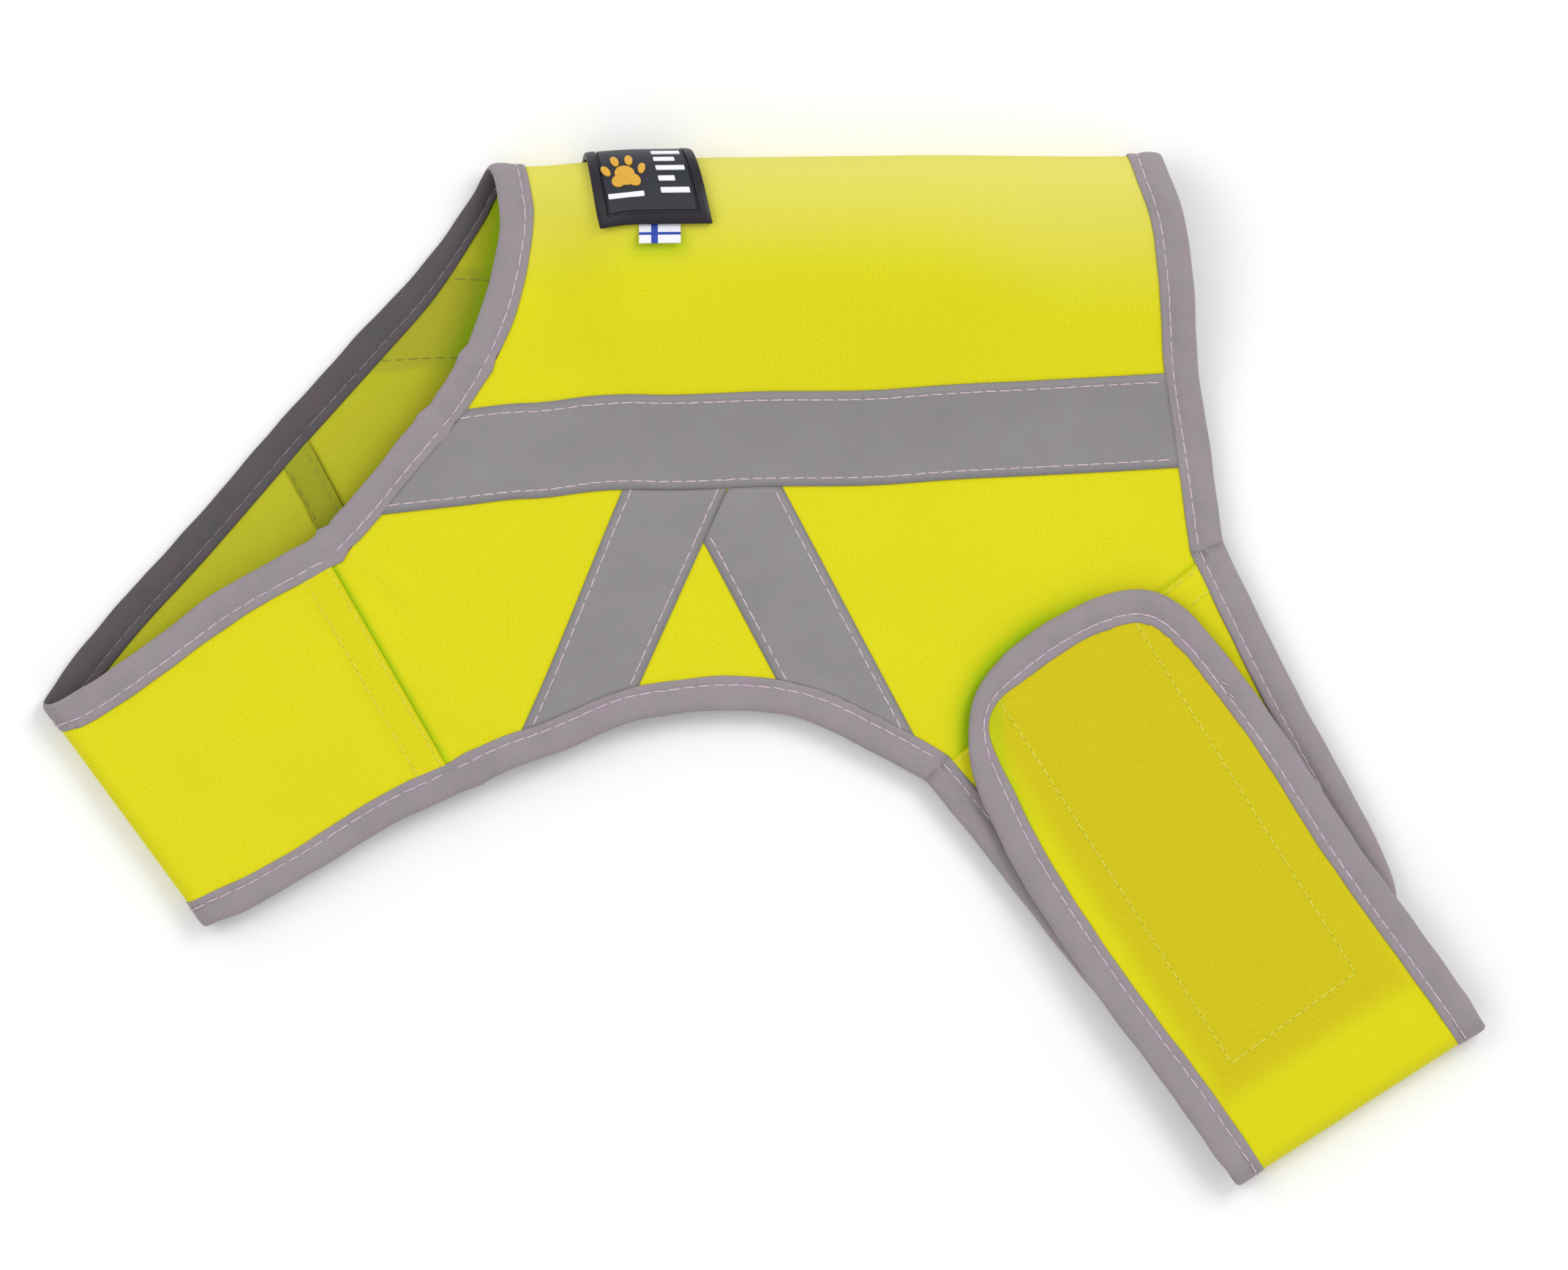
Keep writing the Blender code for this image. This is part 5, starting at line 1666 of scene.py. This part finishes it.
# %% Loose threads
LOOSE_REACH = 27.0
STRAY_LEVEL = 1.78
STRAY = (
    # from x, y to x, y
    (120.9, -3.0, 125.1, -4.6), (122.9, -6.2, 127.0, -8.4))
faces, linings = binding_rows(outer_run, outer_parts["strap_far"])
loose_rows = []
for fold, line, height in faces:
    points = fold.point(line)
    away = np.hypot(points[:, 0] - GATHERED[0], points[:, 1] - GATHERED[1])
    chosen = np.flatnonzero((away < LOOSE_REACH) & (points[:, 2] > Z_NEAR))
    loose_rows.append((fold, line[chosen], height + 0.06))
for x0, y0, x1, y1 in STRAY:
    ends = belly.place(np.array((x0, x1)), np.array((y0, y1)), 0)
    loose_rows.append((belly, between(ends[0], ends[1], 8), STRAY_LEVEL))
sew("vest_stitches_strap_loose", "binding_strap_far", loose_rows, THREAD, 2.7, 55, "binding",
    length=1.9, radius=0.16, humped=0.22, loose=0.5)

# %% [markdown]
# ### Rows along the tapes and seams
# Each tape has a row along both edges, pinkish on top and olive on the inner
# side, where it shows through the neck; the olive is the cloth's colour,
# painted darker as shade. The seams have two rows in yellow, and between the
# stitches the shade in each needle hole is painted: a very short, flat, dark
# thread, set half a pitch on.

# %% Stitches of the tapes
SEAM_PITCH = 3.6
NEAR_TAPE_ROWS = 6
sew("vest_stitches_tapes_near", "tape_flank_near", tape_rows[:NEAR_TAPE_ROWS], THREAD,
    SEAM_PITCH, 61, "tape", length=3.3)
sew("vest_stitches_tapes_far", "tape_flank_far", tape_rows[NEAR_TAPE_ROWS:], THREAD,
    SEAM_PITCH, 63, "tape", length=3.3)
sew("vest_stitches_tapes_inside", "tape_flank_far", lining_rows, OLIVE_THREAD_SHADED,
    SEAM_PITCH, 64, "tape", length=3.2, radius=0.2)

# %% Stitches of the seams
# shape of the short, flat, dark threads that paint the shade in the needle holes
HOLE_SHADE = {"length": 0.45, "radius": 0.12, "humped": 0.02, "phase": 0.5}
IN_BAND = slice(6, -6)
INSIDE_LEVEL = -CLOTH / 2 - 0.68


def seam_rows(fold, grid, rows, end_row, height):
    """Rows of stitches beside a seam, at distances from the seam's edge."""
    first = grid[:, 0 if end_row == 0 else -1]
    inner = grid[:, 3 if end_row == 0 else -4]
    toward = unit(inner - first)
    return [(fold, first + toward * away, height) for away in rows]


chest_rows = seam_rows(chest, band[4:-4], SEAM_ROWS, 0, CLOTH / 2 + 0.3)
chest_rows += seam_rows(chest, band[4:-4], SEAM_ROWS, -1, CLOTH / 2 + 0.02)
sew("vest_stitches_chest_seams", "chest_band", chest_rows, YELLOW_THREAD, SEAM_PITCH, 65,
    "fabric", length=3.2, radius=0.18)
sew("vest_needle_hole_shade_chest", "chest_band", chest_rows, NEEDLE_HOLE_SHADE, SEAM_PITCH, 65,
    "fabric", **HOLE_SHADE)
inside_rows = seam_rows(chest, band[IN_BAND], SEAM_ROWS, -1, INSIDE_LEVEL)
inside_rows += seam_rows(chest, band[IN_BAND], SEAM_ROWS, 0, INSIDE_LEVEL)
sew("vest_stitches_chest_inside", "chest_band", inside_rows, OLIVE_THREAD_SHADED, SEAM_PITCH, 66,
    "fabric", length=3.2, radius=0.2)
strap_rows = seam_rows(under, near_strap[:-2], SEAM_ROWS, 0, CLOTH / 2 + 0.2)
sew("vest_stitches_near_strap_seam", "strap_near", strap_rows, YELLOW_THREAD, SEAM_PITCH, 67,
    "twill", length=3.2, radius=0.22)

# %% [markdown]
# ### Stitched box over the hook panel
# The hook panel is sewn to the strap's inner face, and its stitches come
# through as a box on top, a little askew. They are finer than those of the
# seams. The upper end of the box is hidden by the binding and is left out.

# %% Stitched box over the hook panel
BOX_PITCH = 2.9
BOX = (
    # place along the fold, place out from it
    (17.2, 144.5), (17.2, 28.0), (57.9, 30.5), (58.9, 144.5))
corners = [(along, float(belly.across_of(np.array(out), 0, 0.0))) for along, out in BOX]
box = [(belly, between(a, b, 90), CLOTH / 2 + 0.27) for a, b in zip(corners, corners[1:])]
box += seam_rows(belly, far_strap, (1.5,), 0, -CLOTH / 2 - 0.02)
sew("vest_stitches_strap_box", "strap_far", box, YELLOW_THREAD, BOX_PITCH, 69, "twill",
    length=2.5, radius=0.2)
sew("vest_needle_hole_shade_box", "strap_far", box[:3], NEEDLE_HOLE_SHADE, BOX_PITCH, 69, "twill", **HOLE_SHADE)

# %% [markdown]
# ## Rubber label
# A plate moulded in soft rubber, with a raised rim, a sewing groove and a
# raised picture. It is modelled flat with the usual tools and then laid over
# the roll of the back, each of its points by its place on the cut.

# %% Sizes of the label
LABEL_TOP_X = (-49.8, -22.4)
LABEL_LOW_X = (-43.0, -14.2)
LABEL_ACROSS = (-8.0, 24.2)
LABEL_SIZE = (28.0, 32.0)
LABEL_THICK = 1.9
LABEL_LIFT = CLOTH / 2 + 0.62
LABEL_STEPS = (
    # inset, rise: rim, shoulder, down into the groove, its floor, up to the face
    (0.9, 0.12), (1.3, 0.0), (0.2, -0.55), (0.3, 0.0), (0.25, 0.4))
print("label:", LABEL_SIZE, "mm")

# %% Usual tools
def edit():
    """Edit mode of the active object, with faces picked."""
    bpy.ops.object.mode_set(mode="EDIT")
    bpy.ops.mesh.select_mode(type="FACE")


def object_mode():
    """Back to object mode, giving the active object."""
    bpy.ops.object.mode_set(mode="OBJECT")
    return bpy.context.object


def cut_across(axis, stops):
    """Cuts the shape in edit mode straight across an axis at each stop."""
    square = [float(k == axis) for k in range(3)]
    for stop in stops:
        bpy.ops.mesh.select_all(action="SELECT")
        bpy.ops.mesh.bisect(plane_co=[stop * k for k in square], plane_no=square)


def pick(test):
    """Selects the faces of the shape in edit mode for which the test holds."""
    shape = object_mode()
    for part in (shape.data.vertices, shape.data.edges):
        part.foreach_set("select", [False] * len(part))
    for face in shape.data.polygons:
        face.select = bool(test(face))
    edit()


def inner_top(inset, height):
    """Insets the picked faces and moves what is inside up or down."""
    bpy.ops.mesh.inset(thickness=inset, depth=0.0)
    bpy.ops.transform.translate(value=(0.0, 0.0, height))


def add_plate(size, centre, thick, bevel):
    """A bevelled plate on z = 0, in millimetres."""
    bpy.ops.object.select_all(action="DESELECT")
    bpy.ops.mesh.primitive_cube_add(size=1.0, location=(*centre, thick / 2),
                                    scale=(size[0], size[1], thick))
    bpy.ops.object.transform_apply(location=True, rotation=True, scale=True)
    edit()
    bpy.ops.mesh.select_all(action="SELECT")
    bpy.ops.mesh.bevel(offset=bevel, segments=2, affect="EDGES")
    return object_mode()


def add_pad(radius, centre, thick, stretch, turn):
    """A low rounded pad: a short cylinder whose top is inset to a dome."""
    bpy.ops.object.select_all(action="DESELECT")
    bpy.ops.mesh.primitive_cylinder_add(vertices=20, radius=radius, depth=thick,
                                        location=(0.0, 0.0, thick / 2))
    bpy.ops.object.transform_apply(location=True, rotation=True, scale=True)
    pick(lambda face: face.normal.z > 0.99)
    inner_top(radius * 0.18, thick * 0.18)
    inner_top(radius * 0.3, thick * 0.08)
    bpy.ops.mesh.select_all(action="SELECT")
    bpy.ops.transform.resize(value=(*stretch, 1.0))
    shape = object_mode()
    shape.rotation_euler = (0.0, 0.0, math.radians(turn))
    shape.location = (*centre, 0.0)
    bpy.ops.object.transform_apply(location=True, rotation=True, scale=True)
    return shape


print("tools: plate, pad, inset and straight cuts")

# %% Flat label
plate = add_plate(LABEL_SIZE, (0.0, 0.0), LABEL_THICK, 0.35)
pick(lambda face: face.normal.z > 0.99)
for inset, rise in LABEL_STEPS:
    inner_top(inset, rise)
for axis, cells in ((0, 10), (1, 26)):
    half = LABEL_SIZE[axis] / 2
    cut_across(axis, np.linspace(-half, half, cells + 1)[1:-1])
plate = object_mode()
plate.name = "vest_label"
print("flat label:", len(plate.data.polygons), "faces")

# %% [markdown]
# ### Raised picture
# A paw print in gold and a few white bars stand for the label's picture and
# lettering. Pads and bars are poured on the plate, so each is a low shape of
# its own, with rounded edges that catch the light.

# %% Raised picture
FACE_LEVEL = LABEL_THICK - 0.03
PAW = (-5.6, -3.6)
PAW_PADS = (
    # centre from the paw's, radius, stretch along x and y, turn in degrees
    ((0.0, -0.5), 2.0, (1.15, 1.0), 0.0), ((-1.7, -2.3), 1.7, (1.0, 0.85), 24.0),
    ((1.7, -2.3), 1.7, (1.0, 0.85), -24.0), ((0.0, -2.4), 1.5, (1.1, 0.75), 0.0),
    ((-4.3, 0.7), 1.2, (0.75, 1.3), 28.0), ((-1.7, 3.3), 1.25, (0.75, 1.35), 9.0),
    ((1.7, 3.3), 1.25, (0.75, 1.35), -9.0), ((4.3, 0.7), 1.2, (0.75, 1.3), -28.0))
BARS = (
    # centre, size
    ((6.2, 2.7), (7.6, 1.3)), ((5.2, -0.1), (5.6, 1.3)), ((6.2, -2.9), (7.6, 1.3)),
    ((4.6, -5.7), (4.4, 1.3)), ((6.2, -8.5), (7.6, 1.3)), ((-6.2, -9.2), (8.4, 1.2)))
picture = []
for centre, radius, stretch, turn in PAW_PADS:
    place = (PAW[0] + centre[0], PAW[1] + centre[1])
    picture.append((add_pad(radius, place, 0.5, stretch, turn), RUBBER_GOLD))
for centre, size in BARS:
    picture.append((add_plate(size, centre, 0.6, 0.22), RUBBER_WHITE))
print("raised shapes:", len(picture))

# %% Rubber of the rim and the face
RIM_WIDTH = 2.3


def name_materials(shape, materials):
    """Gives the shape these materials and no others."""
    shape.data.materials.clear()
    for material in materials:
        shape.data.materials.append(material)


name_materials(plate, [RUBBER, RUBBER_RIM])
for face in plate.data.polygons:
    centre = face.center
    from_edge = min(LABEL_SIZE[0] / 2 - abs(centre.x), LABEL_SIZE[1] / 2 - abs(centre.y))
    face.material_index = 1 if from_edge < RIM_WIDTH or face.normal.z < 0.5 else 0
print("rim faces:", sum(face.material_index for face in plate.data.polygons))

# %% Label laid over the roll
SMOOTH_ANGLE = math.radians(40)


def move_to(shape, places, height, flat):
    """Moves a shape's points over the back, and stores where they were."""
    points = (spine.raised(places, height) + TO_ORIGIN) * MM
    shape.data.vertices.foreach_set("co", points.ravel())
    stored = shape.data.attributes.new("cut", "FLOAT_VECTOR", "POINT")
    stored.data.foreach_set("vector", flat.astype(np.float32).ravel())
    shape.data.update()
    shape.data.shade_smooth()


def over_roll(shape, lift):
    """Lays a flat shape over the back by its places on the cut."""
    flat = np.array([v.co for v in shape.data.vertices])
    u = flat[:, 0] / LABEL_SIZE[0] + 0.5
    v = 0.5 - flat[:, 1] / LABEL_SIZE[1]
    top = LABEL_TOP_X[0] + (LABEL_TOP_X[1] - LABEL_TOP_X[0]) * u
    low = LABEL_LOW_X[0] + (LABEL_LOW_X[1] - LABEL_LOW_X[0]) * u
    across = LABEL_ACROSS[0] + (LABEL_ACROSS[1] - LABEL_ACROSS[0]) * v
    places = np.stack((top + (low - top) * v, across), axis=-1)
    move_to(shape, places, lift + flat[:, 2], flat)


over_roll(plate, LABEL_LIFT)
for shape, material in picture:
    name_materials(shape, [material])
    over_roll(shape, LABEL_LIFT + FACE_LEVEL - 0.1)
bpy.ops.object.select_all(action="DESELECT")
for shape, material in picture:
    shape.select_set(True)
bpy.context.view_layer.objects.active = picture[0][0]
bpy.ops.object.join()
print_of_label = bpy.context.object
print_of_label.name = "vest_label_picture"
bpy.ops.object.shade_smooth_by_angle(angle=SMOOTH_ANGLE)
bpy.ops.object.select_all(action="DESELECT")
plate.select_set(True)
bpy.context.view_layer.objects.active = plate
bpy.ops.object.shade_smooth_by_angle(angle=SMOOTH_ANGLE)
for piece in (plate, print_of_label):
    stand_for(piece, "label")
print("label picture:", len(print_of_label.data.polygons), "faces")

# %% [markdown]
# ## Ribbon tag
# A scrap of white satin ribbon folded double and caught under the label,
# with a blue cross woven in. An image would need a file, so it is modelled as
# a flat strip whose colours follow cuts made where the bars begin and end,
# and then folded in half.

# %% Flat tag
TAG_X = (-33.8, -22.8)
TAG_LENGTH = 4.6
TAG_TUCK = 1.0
TAG_THICK = 0.26
TAG_BEND = 0.3
TAG_BAR = (-30.6, -28.8)
TAG_LINE = (1.7, 2.4)
half_tag = TAG_TUCK + TAG_LENGTH
bpy.ops.object.select_all(action="DESELECT")
bpy.ops.mesh.primitive_cube_add(size=1.0, location=(sum(TAG_X) / 2, 0.0, 0.0),
                                scale=(TAG_X[1] - TAG_X[0], 2 * half_tag, TAG_THICK))
bpy.ops.object.transform_apply(location=True, rotation=True, scale=True)
edit()
cut_across(0, (*TAG_BAR, *np.linspace(*TAG_X, 9)[1:-1], TAG_X[0] + 0.25, TAG_X[1] - 0.25))
line_cuts = [sign * (half_tag - TAG_TUCK - y) for y in TAG_LINE for sign in (-1, 1)]
cut_across(1, (*line_cuts, *np.linspace(-0.48, 0.48, 7), -4.2, -1.4, 1.4, 4.2))
tag = object_mode()
tag.name = "vest_flag_tag"
name_materials(tag, [RIBBON_WHITE, RIBBON_BLUE])
for face in tag.data.polygons:
    from_seam = half_tag - TAG_TUCK - abs(face.center.y)
    blue = TAG_BAR[0] < face.center.x < TAG_BAR[1] or TAG_LINE[0] < from_seam < TAG_LINE[1]
    face.material_index = int(blue)
print("blue faces:", sum(face.material_index for face in tag.data.polygons))

# %% Tag folded under the label
TAG_RISE = 1.7
flat = np.array([v.co for v in tag.data.vertices])
turn = np.clip(flat[:, 1] / TAG_BEND, -math.pi / 2, math.pi / 2)
straight = np.maximum(np.abs(flat[:, 1]) - TAG_BEND * math.pi / 2, 0.0)
reach = TAG_BEND + flat[:, 2]
across = LABEL_ACROSS[1] + 0.1 + TAG_LENGTH - TAG_BEND + reach * np.cos(turn) - straight
height = CLOTH / 2 + 0.04 + TAG_BEND + TAG_THICK / 2 + reach * np.sin(turn)
height += TAG_RISE * smooth((across - LABEL_ACROSS[1] + 0.5) / 5.5)
move_to(tag, np.stack((flat[:, 0], across), axis=-1), height, flat)
bpy.ops.object.shade_smooth_by_angle(angle=math.radians(35))
stand_for(tag, "flag_tag")
print("tag:", len(tag.data.polygons), "faces")

# %% [markdown]
# ## Table
# The vest lies on a plain ground, nearly white. A large plane with a very
# faint grain stands for it, and it isn't part of the vest.

# %% Table
TABLE_SIZE = 6.0
bpy.ops.object.select_all(action="DESELECT")
bpy.ops.mesh.primitive_grid_add(x_subdivisions=8, y_subdivisions=8, size=TABLE_SIZE)
table = bpy.context.object
table.name = "table"
table_finish, tree, shader, cut = new_material("Pale matt table")
place = add(tree, "ShaderNodeTexCoord")
grain = add(tree, "ShaderNodeTexNoise", {"Vector": place.outputs["Object"], "Scale": 60.0,
            "Detail": 4.0})
table_colour = add(tree, "ShaderNodeMix", {"Factor": grain.outputs["Fac"], 6: linear("#fbfbfb"),
                   7: linear("#fefefe")}, data_type="RGBA")
tree.links.new(table_colour.outputs[2], shader.inputs["Base Color"])
shader.inputs["Roughness"].default_value = 0.9
table.data.materials.append(table_finish)
print("table is", TABLE_SIZE, "m wide")

# %% [markdown]
# ## Light
# The photograph is lit softly from all sides, a little more from the upper
# right. An even white world gives the fill, and two large disks give the
# faint shadows beside the roll and under the strap's end.

# %% Light
WORLD_STRENGTH = 0.74
world = bpy.data.worlds.new("Even studio light")
bpy.context.scene.world = world
world.use_nodes = True
world.node_tree.nodes["Background"].inputs["Color"].default_value = (1.0, 1.0, 1.0, 1.0)
world.node_tree.nodes["Background"].inputs["Strength"].default_value = WORLD_STRENGTH


def soft_light(name, place, size, power):
    """A large round lamp that faces the middle of the vest."""
    data = bpy.data.lights.new(name, "AREA")
    data.shape = "DISK"
    data.size = size
    data.energy = power
    lamp = bpy.data.objects.new(name, data)
    bpy.context.scene.collection.objects.link(lamp)
    lamp.location = place
    x, y, z = place
    lamp.rotation_euler = (math.atan2(math.hypot(x, y), z), 0.0, math.atan2(-y, -x) - math.pi / 2)


soft_light("key_light", (0.9, 0.8, 1.5), 0.9, 11.0)
soft_light("fill_light", (-1.1, 0.4, 1.5), 1.2, 5.5)
print("lamps:", len(bpy.data.lights))

# %% [markdown]
# ## Camera
# The photograph is taken straight from above. A long lens three metres away
# keeps the roll from leaning, and its width of view is measured off the
# photograph by the same scale as the vest.

# %% Camera
SENSOR_WIDTH = 36.0
VIEW_CENTRE = (5.44, 9.01)
VIEW_WIDTH = 417.9
CAMERA_DISTANCE = 3000.0
camera_data = bpy.data.cameras.new("camera")
camera_data.sensor_width = SENSOR_WIDTH
camera_data.lens = CAMERA_DISTANCE * SENSOR_WIDTH / VIEW_WIDTH
camera_data.clip_end = 20.0
camera = bpy.data.objects.new("camera", camera_data)
bpy.context.scene.collection.objects.link(camera)
camera.location = (VIEW_CENTRE[0] * MM, VIEW_CENTRE[1] * MM, (CAMERA_DISTANCE + 6.0) * MM)
bpy.context.scene.camera = camera
bpy.context.scene.view_settings.view_transform = "Standard"
print("lens:", round(camera_data.lens, 1), "mm")
